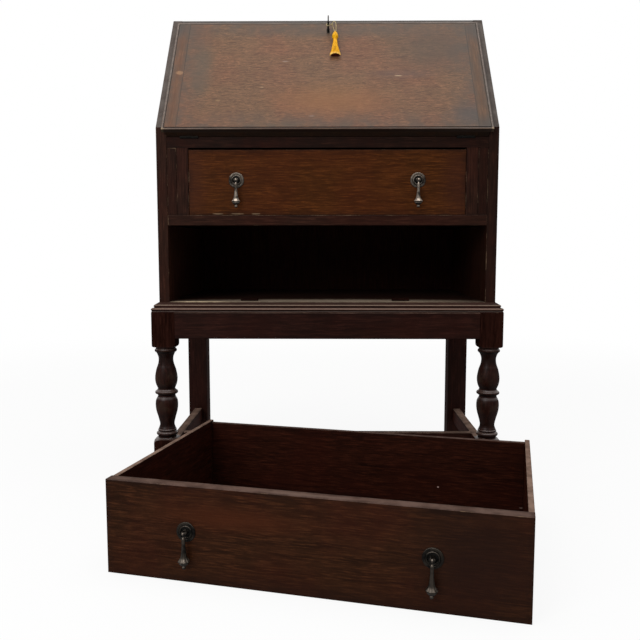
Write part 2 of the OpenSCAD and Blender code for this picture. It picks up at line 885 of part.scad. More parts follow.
module lid_panel() {
    color(oak) in_lid() difference() {
        union() {
            board([-cleat_in, lid_foot, 0], [cleat_in, lid_main_top, lap_under]);
            board([-cleat_in, lid_foot, lap_under], [cleat_in, field_top, lid_t]);
        }
        bead_seat();
        lid_recesses();
    }
}

// A cleat is the full thickness inside the case and laps over the side beyond it
module cleat() {
    difference() {
        union() {
            board([cleat_in, lid_foot, 0], [main_half, lid_main_top, lap_under]);
            board([cleat_in, lid_foot, lap_under], [field_half, field_top, lid_t]);
        }
        bead_seat();
        lid_recesses();
    }
}

module lid_cleat_right() { color(oak) in_lid() cleat(); }
module lid_cleat_left() { color(oak) in_lid() mirror([1, 0, 0]) cleat(); }

// The strip that the bead takes along the fall front's lower edge
module bead_seat() {
    board([-lid_w, lid_foot - 1, lap_under], [lid_w, lid_foot + bead_w, lid_t + 1]);
}

// Outline of the bead: across its width from the field outwards, and up in thickness
module bead_outline() {
    r = 2.4;
    quirk = 1.2;
    polygon(concat(
        [[0, lap_under], [bead_w, lap_under]],
        arc([bead_w - r, lid_t - r], r, 0, 90, 8),
        arc([quirk + r * 0.8, lid_t - r * 0.8], r * 0.8, 90, 180, 6),
        [[quirk, lid_t - r], [0, lid_t - r]]));
}

// One mitred strip of bead of a given length along +X, with its outer edge along y = 0
module bead_strip(long) {
    intersection() {
        translate([0, bead_w, 0]) rotate([90, 0, 90]) linear_extrude(long)
            mirror([1, 0]) bead_outline();
        linear_extrude(2 * lid_t) polygon([
            [glue_line, 0], [long - glue_line, 0],
            [long - bead_w - glue_line, bead_w], [bead_w + glue_line, bead_w]]);
    }
}

module lid_bead() {
    high = lid_len - lid_foot;
    color(oak) in_lid() {
        translate([-lid_w / 2, lid_foot, 0]) bead_strip(lid_w);
        translate([lid_w / 2, lid_len, 0]) rotate([0, 0, 180]) bead_strip(lid_w);
        translate([lid_w / 2, lid_foot, 0]) rotate([0, 0, 90]) bead_strip(high);
        translate([-lid_w / 2, lid_len, 0]) rotate([0, 0, -90]) bead_strip(high);
    }
}

// Tassel on its cord

cord_r = cord_d / 2;
loop_t = lid_t + 16;
loop_r = shank_r + slide_gap + cord_r;
knot_r = 2;
knot_l = 4;
knot_x = loop_r + cord_r + slide_gap + knot_l / 2;

// The turn of cord round the key's shank
module cord_loop() {
    color(cord_beige) in_lid() translate([lock_x, key_s, loop_t])
        rotate_extrude($fn = 48) translate([loop_r, 0]) circle(r = cord_r, $fn = 16);
}

// Route of the hanging cord from the key, measured from the key's axis: across, up the
// slope, and out of the fall front's face. It leaves the tassel, passes through the knot
// at the key and comes back to the tassel.
tassel_from = [15.5, -15, 9.6];
cord_route = [
    tassel_from + [-1.6, 0, 0], [13.2, -11, 10.6], [11.4, -6, 12.4], [9.6, -2, 14.6],
    [9.6, 3, 16], [10.6, 8, 16.4], [13, 10.4, 16.2], [15.8, 9.4, 15.6], [17.4, 5, 14.4],
    [17.8, -1, 12.8], [17.6, -8, 11], tassel_from + [1.6, 0, 0]];

module cord_tube(route, r, sides) {
    path = curve(route, 3);
    last = len(path) - 1;
    rings = [
        for (i = [0:last])
            let (
                ahead = path[min(i + 1, last)] - path[max(i - 1, 0)],
                along = i == 0 || i == last ? [0, i == 0 ? 1 : -1, 0] : ahead / norm(ahead),
                out = cross(along, [0, 0, 1]),
                side = out / norm(out),
                up = cross(side, along))
            for (k = [0:sides - 1])
                path[i] + r * (cos(360 * k / sides) * side + sin(360 * k / sides) * up)];
    walls = [
        for (i = [0:last - 1]) for (k = [0:sides - 1])
            let (a = i * sides + k, b = i * sides + (k + 1) % sides)
            each [[a, b, a + sides], [b, b + sides, a + sides]]];
    ends = [
        for (k = [1:sides - 2]) each [
            [0, k + 1, k],
            [last * sides, last * sides + k, last * sides + k + 1]]];
    polyhedron(points = rings, faces = concat(walls, ends));
}

// Least distance between stretches of the cord that are not neighbours
function self_gap(p, skip) = min([
    for (i = [0:len(p) - 1]) for (j = [i + skip:1:len(p) - 1]) norm(p[i] - p[j])]) - cord_d;
echo(cord_gap = self_gap(curve(cord_route, 3), 14));

module tassel_cord() {
    color(cord_beige) in_lid() {
        translate([lock_x, key_s, lid_t]) cord_tube(cord_route, cord_r, 8);
        translate([lock_x + knot_x - knot_l / 2, key_s, loop_t]) rotate([0, 90, 0])
            cylinder(r = knot_r, h = knot_l, $fn = 24);
    }
}

// The tassel lies on the slope: its head by the key and its hem lower down
tassel_l = tassel_head_l + tassel_skirt_l;
tassel_lean = asin((tassel_hem_r + slide_gap - tassel_from[2]) / tassel_l);

module tassel() {
    neck_r = 5;
    skirt = curve([
        [neck_r + 0.8, -tassel_head_l - 1], [neck_r + 1.6, -tassel_head_l - 6],
        [tassel_hem_r - 4.6, -tassel_head_l - tassel_skirt_l * 0.55],
        [tassel_hem_r - 2.4, -tassel_head_l - tassel_skirt_l * 0.82],
        [tassel_hem_r, -tassel_l]], 4);
    head = curve([
        [2, 0], [tassel_head_r - 3, -tassel_head_l * 0.26], [tassel_head_r, -tassel_head_l * 0.7],
        [neck_r + 0.6, -tassel_head_l + 1.5]], 5);
    color(silk) in_lid() translate([lock_x, key_s, lid_t]) translate(tassel_from)
        rotate([-90 - tassel_lean, 0, 0])
            rotate_extrude($fn = 40) polygon(concat(
                [[0, 0]], head, arc([neck_r, -tassel_head_l], 1.5, 60, -60, 5), skirt,
                [[tassel_hem_r - 2, -tassel_l], [neck_r - 1, -tassel_head_l - tassel_skirt_l * 0.5],
                    [0, -tassel_head_l - tassel_skirt_l * 0.5]]));
}

// Lopers

loper_w = loper_slot_w - 2 * slide_gap;
loper_l = back_face - loper_rear_gap - case_front;

module loper() {
    groove_h = 2 * peg_r + 1;
    difference() {
        board([muntin_out + slide_gap, case_front, mid_top + slide_gap],
            [muntin_out + slide_gap + loper_w, case_front + loper_l, rail_bottom - slide_gap]);
        board([muntin_out - 1, peg_y - peg_r - 0.5, peg_z - groove_h / 2],
            [muntin_out + peg_l + 0.5, peg_y + loper_travel + peg_r + 0.5, peg_z + groove_h / 2]);
    }
}

module loper_right() { color(oak) loper(); }
module loper_left() { color(oak) mirror([1, 0, 0]) loper(); }

// Drawers, drawn with the front's face in the plane y = 0 and the lower edge at z = 0

module in_upper_bay() { translate([0, case_front, mid_top]) children(); }
module on_the_floor() { translate([loose_x, loose_y, 0]) rotate([0, 0, -loose_yaw]) children(); }

// The tails of a right-hand drawer side, which the front is cut to take
module tails(half, high) {
    count = 3;
    pitch = (high - 2 * groove_up) / count;
    for (i = [0:count - 1])
        extrude_across(half - drawer_side_t, drawer_side_t)
            polygon([
                [front_t, groove_up + pitch * (i + 0.22)], [front_t, groove_up + pitch * (i + 0.78)],
                [front_t - tail_l, groove_up + pitch * (i + 0.9)],
                [front_t - tail_l, groove_up + pitch * (i + 0.1)]]);
}

module drawer_bottom(half) {
    board([-half + drawer_side_t - groove_d, front_t - groove_d, groove_up],
        [half - drawer_side_t + groove_d, drawer_d, groove_up + bottom_t]);
}

module drawer_front(half, high, x) {
    difference() {
        board([-half, 0, 0], [half, front_t, high]);
        both_sides() tails(half, high);
        drawer_bottom(half);
        both_sides() pull_bolt(x, high, 0);
    }
}

module drawer_sides(half, high) {
    difference() {
        both_sides() {
            board([half - drawer_side_t, front_t, 0], [half, drawer_d, high - 1]);
            tails(half, high);
        }
        drawer_bottom(half);
    }
}

module drawer_back(half, high) {
    board([-half + drawer_side_t, drawer_d - drawer_back_t, groove_up + bottom_t],
        [half - drawer_side_t, drawer_d, high - back_drop]);
}

// Pulls, each x from the middle of a drawer front of the given height

module at_pull(x, high) {
    translate([x, 0, high / 2 + pull_up]) children();
}

pull_bolt_r = 2.5;
nut_r = 5;
nut_t = 4;

// The threaded end of a pull's post, through the drawer front
module pull_bolt(x, high, extra) {
    at_pull(x, high) rotate([-90, 0, 0]) cylinder(r = pull_bolt_r, h = front_t + extra, $fn = 24);
}

// The drop's eye sits between the two ears of the post
eye_r = 3.4;
eye_t = 3;
post_r = 4.2;
ear_gap = 0.25;
neck_r = eye_t / 2 - 0.1;
neck_l = post_r + 0.5;

// Round plate with two raised rings, the post with its two ears, the pin, and the nut behind
module pull_plate(x, high) {
    at_pull(x, high) {
        rotate([90, 0, 0]) rotate_extrude($fn = 48) polygon(concat(
            [[0, 0], [plate_r, 0]],
            arc([plate_r - 1.1, 0.9], 1.1, 0, 75, 5),
            [[plate_r - 4.4, 2.5], [plate_r - 4.9, 1.5]],
            arc([plate_r - 6.5, 1.9], 1.5, 10, 165, 7),
            [[plate_r - 8.3, 0.9], [post_r + 0.6, 0.9], [post_r + 0.1, 3.6], [0, 3.6]]));
        difference() {
            rotate([90, 0, 0]) cylinder(r = post_r, h = pin_out + eye_r, $fn = 32);
            board([-eye_t / 2 - ear_gap, -pin_out - eye_r - 1, -post_r - 1],
                [eye_t / 2 + ear_gap, -pin_out + eye_r + 2 * ear_gap, post_r + 1]);
        }
        translate([-post_r, -pin_out, 0]) rotate([0, 90, 0])
            cylinder(r = pin_r, h = 2 * post_r, $fn = 24);
        translate([0, front_t, 0]) rotate([-90, 0, 0]) difference() {
            cylinder(r = nut_r, h = nut_t, $fn = 6);
            translate([0, 0, -1]) cylinder(r = pull_bolt_r + pin_fit, h = nut_t + 2, $fn = 24);
        }
    }
    pull_bolt(x, high, nut_t + 2);
}

// A bell-shaped drop hanging from its pin
module drop(x, high) {
    body = curve([
        [neck_r, -neck_l], [3.1, -drop_l * 0.15], [2.9, -drop_l * 0.22], [3, -drop_l * 0.34],
        [3.7, -drop_l * 0.5], [4.7, -drop_l * 0.62], [6.4, -drop_l * 0.7],
        [bell_r - 0.4, -drop_l * 0.755]], 5);
    at_pull(x, high) translate([0, -pin_out, 0]) difference() {
        union() {
            translate([-eye_t / 2, 0, 0]) rotate([0, 90, 0]) cylinder(r = eye_r, h = eye_t);
            rotate_extrude($fn = 40) polygon(concat(
                [[0, -eye_r + 0.8], [neck_r, -eye_r + 0.8]], body,
                [[bell_r, -drop_l * 0.765], [bell_r, -drop_l * 0.785],
                    [bell_r - 1.6, -drop_l * 0.8], [bell_r - 2.2, -drop_l * 0.84],
                    [bell_r - 4, -drop_l * 0.875], [2.2, -drop_l * 0.9]],
                arc([0.3, -drop_l + 2.9], 2.9, 50, -82, 7), [[0, -drop_l]]));
        }
        translate([-eye_t, 0, 0]) rotate([0, 90, 0])
            cylinder(r = pin_r + pin_fit, h = 2 * eye_t, $fn = 24);
    }
}

module upper_drawer_front() { color(oak) in_upper_bay() drawer_front(upper_half, upper_h, upper_pull_x); }
module upper_drawer_sides() { color(oak_inside) in_upper_bay() drawer_sides(upper_half, upper_h); }
module upper_drawer_back() { color(oak_inside) in_upper_bay() drawer_back(upper_half, upper_h); }
module upper_drawer_bottom() { color(oak_inside) in_upper_bay() drawer_bottom(upper_half); }
module upper_pull_plates() { color(brass) in_upper_bay() both_sides() pull_plate(upper_pull_x, upper_h); }
module upper_drop_right() { color(brass) in_upper_bay() drop(upper_pull_x, upper_h); }
module upper_drop_left() { color(brass) in_upper_bay() mirror([1, 0, 0]) drop(upper_pull_x, upper_h); }

module lower_drawer_front() { color(oak) on_the_floor() drawer_front(lower_half, lower_h, lower_pull_x); }
module lower_drawer_sides() { color(oak_inside) on_the_floor() drawer_sides(lower_half, lower_h); }
module lower_drawer_back() { color(oak_inside) on_the_floor() drawer_back(lower_half, lower_h); }
module lower_drawer_bottom() { color(oak_inside) on_the_floor() drawer_bottom(lower_half); }
module lower_pull_plates() { color(brass) on_the_floor() both_sides() pull_plate(lower_pull_x, lower_h); }
module lower_drop_right() { color(brass) on_the_floor() drop(lower_pull_x, lower_h); }
module lower_drop_left() { color(brass) on_the_floor() mirror([1, 0, 0]) drop(lower_pull_x, lower_h); }

side_left();
side_right();
top_board();
back_boards();
case_floor();
mid_rail();
drawer_runners();
top_rail();
writing_bed();
muntins();
loper_guides();
drawer_stops();
stand_moulding();
frieze_front();
frieze_back();
frieze_left();
frieze_right();
leg_front_left();
leg_front_right();
leg_back_left();
leg_back_right();
stretcher_left();
stretcher_right();
stretcher_cross();
nest_boards();
hinge_leaves_fixed();
hinge_pins();
strike_plate();
case_screws();
lid_panel();
lid_cleat_left();
lid_cleat_right();
lid_bead();
hinge_leaves_moving();
lock_case();
lid_screws();
escutcheon();
cord_loop();
key();
lock_bolt();
tassel_cord();
tassel();
loper_left();
loper_right();
upper_drawer_front();
upper_drawer_sides();
upper_drawer_back();
upper_drawer_bottom();
upper_pull_plates();
upper_drop_left();
upper_drop_right();
lower_drawer_front();
lower_drawer_sides();
lower_drawer_back();
lower_drawer_bottom();
lower_pull_plates();
lower_drop_left();
lower_drop_right();
nest_drawer_left();
nest_drawer_right();
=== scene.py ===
import json
import math
import random

import bmesh
import bpy
from mathutils import Matrix, Vector

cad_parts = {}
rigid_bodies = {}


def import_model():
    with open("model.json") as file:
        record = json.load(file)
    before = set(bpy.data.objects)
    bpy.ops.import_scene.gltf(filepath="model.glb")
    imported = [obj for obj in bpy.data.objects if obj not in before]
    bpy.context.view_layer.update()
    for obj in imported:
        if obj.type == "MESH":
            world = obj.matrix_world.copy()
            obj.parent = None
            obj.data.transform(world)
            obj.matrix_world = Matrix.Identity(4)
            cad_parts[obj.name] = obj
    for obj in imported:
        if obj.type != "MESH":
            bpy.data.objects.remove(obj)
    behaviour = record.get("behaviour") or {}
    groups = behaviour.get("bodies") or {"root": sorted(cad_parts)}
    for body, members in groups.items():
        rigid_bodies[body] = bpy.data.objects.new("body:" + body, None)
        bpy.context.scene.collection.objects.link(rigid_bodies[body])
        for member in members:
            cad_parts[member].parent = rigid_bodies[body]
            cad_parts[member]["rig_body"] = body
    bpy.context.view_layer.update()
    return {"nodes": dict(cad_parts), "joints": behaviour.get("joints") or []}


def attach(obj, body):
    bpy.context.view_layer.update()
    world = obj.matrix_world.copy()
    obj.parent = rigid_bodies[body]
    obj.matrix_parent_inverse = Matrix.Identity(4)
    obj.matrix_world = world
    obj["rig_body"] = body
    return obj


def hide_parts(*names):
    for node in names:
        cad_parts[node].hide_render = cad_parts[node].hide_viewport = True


bl_info = {
    "name": "Writing Bureau",
    "version": (1, 0, 0),
    "blender": (4, 5, 0),
    "location": "View3D > Sidebar > Bureau",
    "description": "Dresses the writing bureau in worn oak, aged bronze and silk, and lights it",
    "category": "Object",
}

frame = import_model()
NODES = frame["nodes"]
JOINTS = {joint["name"]: joint for joint in frame["joints"]}

# Places that pieces are drawn in, each a turn and a shift of the whole bureau's frame

WHOLE = Matrix.Identity(4)
OUT_OF_LID = Vector(JOINTS["key_turn"]["axis"])
SLOPE = math.atan2(-OUT_OF_LID.y, OUT_OF_LID.z)
# The fall front: across, up the slope, and out of its inner face
FALL = Matrix.Translation(JOINTS["fall_front_hinge"]["pos_m"]) @ Matrix.Rotation(SLOPE, 4, "X")
# The keyhole's place on it, to a thousandth of a millimetre
KEYHOLE = Vector([round(c, 6) for c in FALL.inverted() @ Vector(JOINTS["key_turn"]["pos_m"])])
LID_T = KEYHOLE.z
AT_KEY = FALL @ Matrix.Translation(KEYHOLE)
LOOSE_YAW = math.radians(-14)


def extent(node, where=WHOLE, halves=False):
    """Low and high corner of a node in its own place, of its right half only with halves."""
    back = where.inverted()
    points = [back @ v.co for v in NODES[node].data.vertices]
    if halves:
        points = [p for p in points if p.x > 0]
    low = tuple(min(p[i] for p in points) for i in range(3))
    return low, tuple(max(p[i] for p in points) for i in range(3))


def loose_place():
    """The loose drawer's own place: on the floor, midway along its front's outer face."""
    turned = Matrix.Rotation(LOOSE_YAW, 4, "Z")
    low, high = extent("lower_drawer_front", turned)
    return turned @ Matrix.Translation(((low[0] + high[0]) / 2, low[1], 0))


LOOSE = loose_place()

# The key's cord and its tassel, which lies on the slope with its hem just clear of it

CORD_D = 0.0022
LOOP_OUT = 0.016
LOOP_R = 0.0036
KNOT_ACROSS = 0.007
KNOT_R = 0.00125
HEAD_L = 0.026
HEAD_R = 0.007
NECK_R = 0.0042
SKIRT_L = 0.049
SKIRT_TOP_R = 0.0036
HEM_R = 0.0125
HEM_GAP = 0.0003
THREAD_ROOM = 0.0007
TASSEL_FROM = Vector((0.0155, -0.015, 0.0096))
TASSEL_LEAN = math.asin((HEM_R + HEM_GAP - TASSEL_FROM.z) / (HEAD_L + SKIRT_L))
TASSEL = (
    AT_KEY @ Matrix.Translation(TASSEL_FROM)
    @ Matrix.Rotation(-math.pi / 2 - TASSEL_LEAN, 4, "X"))
CORD_ROUTE = [
    (0.0139, -0.015, 0.0096), (0.0132, -0.011, 0.0106), (0.0114, -0.006, 0.0124),
    (0.0096, -0.002, 0.0146), (0.0096, 0.003, 0.016), (0.0106, 0.008, 0.0164),
    (0.013, 0.0104, 0.0162), (0.0158, 0.0094, 0.0156), (0.0174, 0.005, 0.0144),
    (0.0178, -0.001, 0.0128), (0.0176, -0.008, 0.011), (0.0171, -0.015, 0.0096)]

# Heights at which the front legs' turning starts and stops, and how soft that line is
TURNED_FROM = 0.114
TURNED_TO = 0.317
TURNED_SOFT = 0.002

# The camera, solved from the right angles in the photograph
CAMERA_AT = (0.00362, -1.7812, 0.5359)
CAMERA_TILT = math.radians(84.110)
CAMERA_TURN = math.radians(0.670)
LENS = 41.58
SENSOR = 36

BLACK = (0, 0, 0, 1)
WHITE = (1, 1, 1, 1)
ORIGIN = (0, 0, 0)


def linear(code):
    """A colour written as #rrggbb, as the shader wants it."""
    shares = [int(code[i:i + 2], 16) / 255 for i in (1, 3, 5)]
    return tuple(s / 12.92 if s <= 0.04045 else ((s + 0.055) / 1.055) ** 2.4 for s in shares)


def shaded(colour, factor):
    """The colour made darker or lighter by a factor."""
    return tuple(min(1, c * factor) for c in colour[:3])


# Sizes and colours that a user would change

def colour_property(name, code, description):
    return bpy.props.FloatVectorProperty(
        name=name, description=description, subtype="COLOR", size=3, min=0, max=1,
        default=linear(code))


def length_property(name, default, description, low=0):
    return bpy.props.FloatProperty(
        name=name, description=description, default=default, min=low, unit="LENGTH",
        precision=5)


def share_property(name, default, description):
    return bpy.props.FloatProperty(
        name=name, description=description, default=default, min=0, max=1, subtype="FACTOR")


def lamp_property(name, default, description):
    return bpy.props.FloatProperty(
        name=name, description=description, default=default, min=0, unit="POWER")


class OakFinish(bpy.types.PropertyGroup):
    """Stain, polish and wear of the oak"""

    fall_tone: colour_property("Fall front", "#6b4c34", "Stain of the fall front")
    edge_tone: colour_property("Fall front's edges", "#464039", "Greyer wax near its edges")
    front_tone: colour_property("Upper drawer", "#47250d", "Stain of the upper drawer's front")
    loose_tone: colour_property("Lower drawer", "#341c0e", "Stain of the lower drawer's front")
    case_tone: colour_property("Case", "#2b1811", "Stain of the sides, rails and uprights")
    # Paler tops of the stretchers and the drawer sides: dust, and painted sheen of the light from
    # above
    dust_and_sheen_tone: colour_property(
        "Dusty tops", "#93796a", "Bare dusty tops of the stretchers and of the drawer sides")
    # The sides' up-facing edges beside the fall front take this tone as painted sheen; the top
    # board's colour is made from it too
    slope_tone: colour_property("Slope edges", "#635c57", "Faded edges beside the fall front")
    stand_tone: colour_property("Stand", "#28140f", "Stain of the frieze, legs and stretchers")
    inside_tone: colour_property("Inside", "#2b120a", "Tone of the drawers' insides and the bay")
    # The bead's pale grey is partly wear and partly its painted highlight
    bead_tone: colour_property("Bead", "#6b6159", "Worn and greyed bead of the fall front")
    red_tone: colour_property("Red stain", "#4a1a10", "Redder patches of the stain")
    # Paler on what faces up: partly fading of the stain, partly painted light from above
    faded_tone: colour_property("Faded stain", "#5f4c44", "Stain faded on what faces up")
    rubbed_tone: colour_property("Rubbed edge", "#745e4a", "Bare wood where edges are rubbed")
    # Wax and dirt near edges; also the painted shade on what faces down, and the darker hollows of
    # the turned legs
    grime_and_shade_tone: colour_property("Old wax", "#120b09", "Wax and dirt left in corners")
    streaks: length_property("Streak width", 0.009, "Width of the grain's streaks")
    arris: length_property("Arris", 0.0013, "Radius of the rounded arrises")
    wear: share_property("Wear", 0.4, "How much of the edges is rubbed")


class BronzeFinish(bpy.types.PropertyGroup):
    """Colour and polish of the pulls, hinges and lock"""

    bright: colour_property("Bright metal", "#7b7167", "Metal where it is handled")
    dull: colour_property("Tarnish", "#1d1915", "Metal where it has darkened")
    iron: colour_property("Iron", "#1b1817", "Iron of the key and lock")
    polish: share_property("Roughness", 0.38, "Roughness of the bright metal")


class TasselMaking(bpy.types.PropertyGroup):
    """Silk and cord of the key's tassel"""

    silk: colour_property("Silk", "#dc9c00", "Colour of the silk")
    silk_light: colour_property("Silk highlights", "#f8c404", "Colour of the paler threads")
    silk_end: colour_property("Thread ends", "#ffd680", "Colour of the threads' frayed ends")
    # Dark silk of the tassel's core and of the threads against the slope, painting the shade under
    # the skirt
    hollow: colour_property("Hollow", "#3a0d06", "Colour of the core inside the skirt")
    cord: colour_property("Cord", "#b3a27a", "Colour of the cord")
    threads: bpy.props.IntProperty(
        name="Threads", description="Number of threads in the skirt", default=120, min=40)
    twist: length_property("Twist", 0.0042, "Length of one turn of the cord's twist")


class Studio(bpy.types.PropertyGroup):
    """Floor, lamps and background"""

    floor_tone: colour_property("Floor", "#f4f4f3", "Colour of the floor")
    floor_size: length_property("Floor size", 24, "Side of the floor", low=4)
    daylight: bpy.props.FloatProperty(
        name="Surroundings", description="Strength of the light from all round",
        default=0.42, min=0)
    overhead: lamp_property("Overhead lamp", 42, "Power of the lamp above the bureau")
    front: lamp_property("Front lamp", 46, "Power of the lamp at the front left")


# Node trees

class Wire:
    """A node's output; + - * and / on it add the Math or Vector Math node that they name."""

    def __init__(self, socket):
        self.socket = socket
        self.tree = socket.id_data

    def reckon(self, operation, *values):
        kind = "VectorMath" if self.socket.type == "VECTOR" else "Math"
        return put(self.tree, kind, dict(enumerate(values)), operation=operation)

    def __add__(self, other):
        return self.reckon("ADD", self, other)

    def __sub__(self, other):
        return self.reckon("SUBTRACT", self, other)

    def __rsub__(self, other):
        return self.reckon("SUBTRACT", other, self)

    def __mul__(self, other):
        return self.reckon("MULTIPLY", self, other)

    def __truediv__(self, other):
        return self.reckon("DIVIDE", self, other)

    def __rtruediv__(self, other):
        return self.reckon("DIVIDE", other, self)


def feed(sockets, values):
    """Gives input sockets, by name or number, their values or the wires that lead to them."""
    for name, value in values.items():
        socket = sockets[name]
        if isinstance(value, Wire):
            value.tree.links.new(value.socket, socket)
        else:
            socket.default_value = (*value[:3], 1) if socket.type == "RGBA" else value


def put(tree, kind, inputs=None, output=0, **settings):
    """Adds a node with its own settings and inputs, and returns one of its outputs."""
    node = tree.nodes.new("ShaderNode" + kind)
    for name, value in settings.items():
        setattr(node, name, value)
    feed(node.inputs, inputs or {})
    return Wire(node.outputs[output])


def least(a, b):
    return a.reckon("MINIMUM", a, b)


def most(a, b):
    return a.reckon("MAXIMUM", a, b)


def length(vector):
    return put(vector.tree, "VectorMath", {0: vector}, "Value", operation="LENGTH")


def parts(vector):
    """X, Y and Z of a vector."""
    node = put(vector.tree, "SeparateXYZ", {0: vector}).socket.node
    return [Wire(socket) for socket in node.outputs]


def joined(x, y, z):
    """A vector from X, Y and Z, of which Y is a wire."""
    return put(y.tree, "CombineXYZ", {0: x, 1: y, 2: z})


def mixed(factor, a, b):
    """Colour a where the factor is 0, and colour b where it is 1."""
    return put(factor.tree, "Mix", {0: factor, 6: a, 7: b}, 2, data_type="RGBA")


def ranged(value, low, high, to_low=0.0, to_high=1.0, way="SMOOTHSTEP"):
    """A value carried from one range to another, and held at its ends."""
    return put(value.tree, "MapRange", {
        "Value": value, "From Min": low, "From Max": high, "To Min": to_low, "To Max": to_high},
        interpolation_type=way)


def clouds(vector, scale, detail=2.0, roughness=0.5):
    """Soft noise of 0 to 1, in blobs about 1 / scale wide."""
    return put(vector.tree, "TexNoise", {
        "Vector": vector, "Scale": scale, "Detail": detail, "Roughness": roughness})


def stretched(vector, along, across):
    """The vector with its X scaled by one amount, and its Y and Z by another."""
    return vector * put(vector.tree, "CombineXYZ", {0: along, 1: across, 2: across})


def seeded(take, way):
    """An effect's vector, shifted by its seed along a direction of its own."""
    seed = take["Seed"]
    return take["Vector"] + joined(seed, seed, seed) * way


def bump(height, strength, distance):
    return put(height.tree, "Bump", {
        "Height": height, "Strength": strength, "Distance": distance})


# Effects that more than one material uses, each a node group

# A socket's kind, by how many numbers its value has
KINDS = {1: "NodeSocketFloat", 3: "NodeSocketVector", 4: "NodeSocketColor"}


def group(name, inputs, outputs):
    """A new node group: its inputs as wires, and its outputs as sockets to feed."""
    tree = bpy.data.node_groups.new(name, "ShaderNodeTree")
    for label, default in inputs.items():
        size = len(default) if isinstance(default, tuple) else 1
        socket = tree.interface.new_socket(name=label, in_out="INPUT", socket_type=KINDS[size])
        socket.default_value = default
    for label in outputs:
        tree.interface.new_socket(
            name=label, in_out="OUTPUT", socket_type=KINDS[4 if label == "Color" else 1])
    start = tree.nodes.new("NodeGroupInput").outputs
    end = tree.nodes.new("NodeGroupOutput").inputs
    return {label: Wire(start[label]) for label in inputs}, end


def place(tree, name, inputs):
    """Puts an effect in a material, and returns its outputs by name."""
    node = tree.nodes.new("ShaderNodeGroup")
    node.node_tree = bpy.data.node_groups[name]
    feed(node.inputs, inputs)
    return {socket.name: Wire(socket) for socket in node.outputs}


def make_grain():
    """Oak with its streaks along X: tone, short pores and pale flecks."""
    take, end = group("Oak grain", {
        "Vector": ORIGIN, "Seed": 0, "Streak width": 0.0045, "Waviness": 0.004, "Flecks": 0.3,
        "Dark": BLACK, "Tone": BLACK, "Light": BLACK}, ("Color", "Streaks", "Height"))
    board = seeded(take, (1.7, 0.93, 0.61))
    swell = clouds(stretched(board, along=7, across=22), 1, 3) - 0.5
    ripple = clouds(stretched(board, along=45, across=60), 1, 2) - 0.5
    shift = ripple * (take["Waviness"] * 0.22) + swell * take["Waviness"]
    flow = board + joined(0, shift, shift)
    pitch = 1 / take["Streak width"]
    streaks = ranged(clouds(stretched(flow, along=pitch * 0.07, across=pitch), 1, 3, 0.6), 0.3, 0.7)
    fine = clouds(stretched(flow, along=pitch * 0.22, across=pitch * 3.1), 1, 3, 0.6)
    pores = ranged(clouds(stretched(flow, along=130, across=1300), 1, 1), 0.58, 0.68)
    flecks = ranged(clouds(stretched(flow, along=60, across=230), 1, 2), 0.56, 0.7)
    base = mixed(streaks, take["Dark"], take["Tone"])
    base = mixed(ranged(fine, 0.46, 0.7), base, take["Light"])
    base = mixed(flecks * take["Flecks"], base, take["Light"])
    base = mixed(ranged(fine, 0.42, 0.3, 0.0, 0.6), base, take["Dark"])
    base = mixed(pores * 0.45, base, take["Dark"])
    feed(end, {
        "Color": base, "Streaks": streaks,
        "Height": pores * -0.6 + (fine * 0.5 + streaks * 0.3)})


def make_edges():
    """How near a point of a board is to its edges, from the board's low and high corners."""
    take, end = group("Board edges", {
        "Vector": ORIGIN, "Low": ORIGIN, "High": (1, 1, 1), "Width": 0.003,
        "Border width": 0.03}, ("Edge", "Border"))
    x, y, z = parts(least(take["Vector"] - take["Low"], take["High"] - take["Vector"]))
    middle = most(least(x, y), least(most(x, y), z))
    feed(end, {
        "Edge": ranged(middle, 0.0, take["Width"], 1.0, 0.0),
        "Border": ranged(middle, 0.0, take["Border width"], 1.0, 0.0, "LINEAR")})


def make_facing():
    """How far a surface faces up, where materials paint light, and down, where they paint shade."""
    take, end = group("Facing", {"Normal": (0, 0, 1)}, ("Up", "Down"))
    rise = parts(take["Normal"])[2]
    feed(end, {"Up": ranged(rise, 0.25, 0.6), "Down": ranged(rise, -0.1, -0.6)})


def make_rub():
    """Where handling has rubbed the stain off an edge, in broken lengths and chips."""
    take, end = group("Rubbed edges", {
        "Vector": ORIGIN, "Edge": 0, "Amount": 0.4, "Seed": 0}, ("Mask",))
    spot = seeded(take, (1, 1, 0))
    lengths = clouds(spot, 26) - 0.5
    chips = clouds(spot, 240) - 0.5
    worn = chips * 0.7 + (lengths * 1.5 + take["Edge"])
    mask = ranged(worn - (1.25 - take["Amount"]), 0.0, 0.28)
    feed(end, {"Mask": mask * ranged(take["Edge"], 0.05, 0.4)})


def make_age():
    """Slow patches where the stain and the wax have aged unevenly."""
    take, end = group("Aged patches", {
        "Vector": ORIGIN, "Seed": 0, "Patch size": 0.12}, ("Mask", "Cloud"))
    spot = seeded(take, (1, 0, 1))
    scale = 1 / take["Patch size"]
    feed(end, {
        "Mask": ranged(clouds(spot, scale), 0.36, 0.64),
        "Cloud": ranged(clouds(spot, scale * 4.3, 3, 0.6), 0.3, 0.7)})


def make_spot():
    """A soft round or oval mark at one place, for a knot, a stain or a scratch."""
    take, end = group("Single mark", {
        "Vector": ORIGIN, "Centre": ORIGIN, "Size": (1, 1, 1), "Softness": 0.5,
        "Breakup": 0.3}, ("Mask",))
    rough = clouds(take["Vector"], 120, 4, 0.65) - 0.5
    far = rough * take["Breakup"] + length((take["Vector"] - take["Centre"]) / take["Size"])
    feed(end, {"Mask": ranged(far, 1 - take["Softness"], 1.1, 1.0, 0.0)})


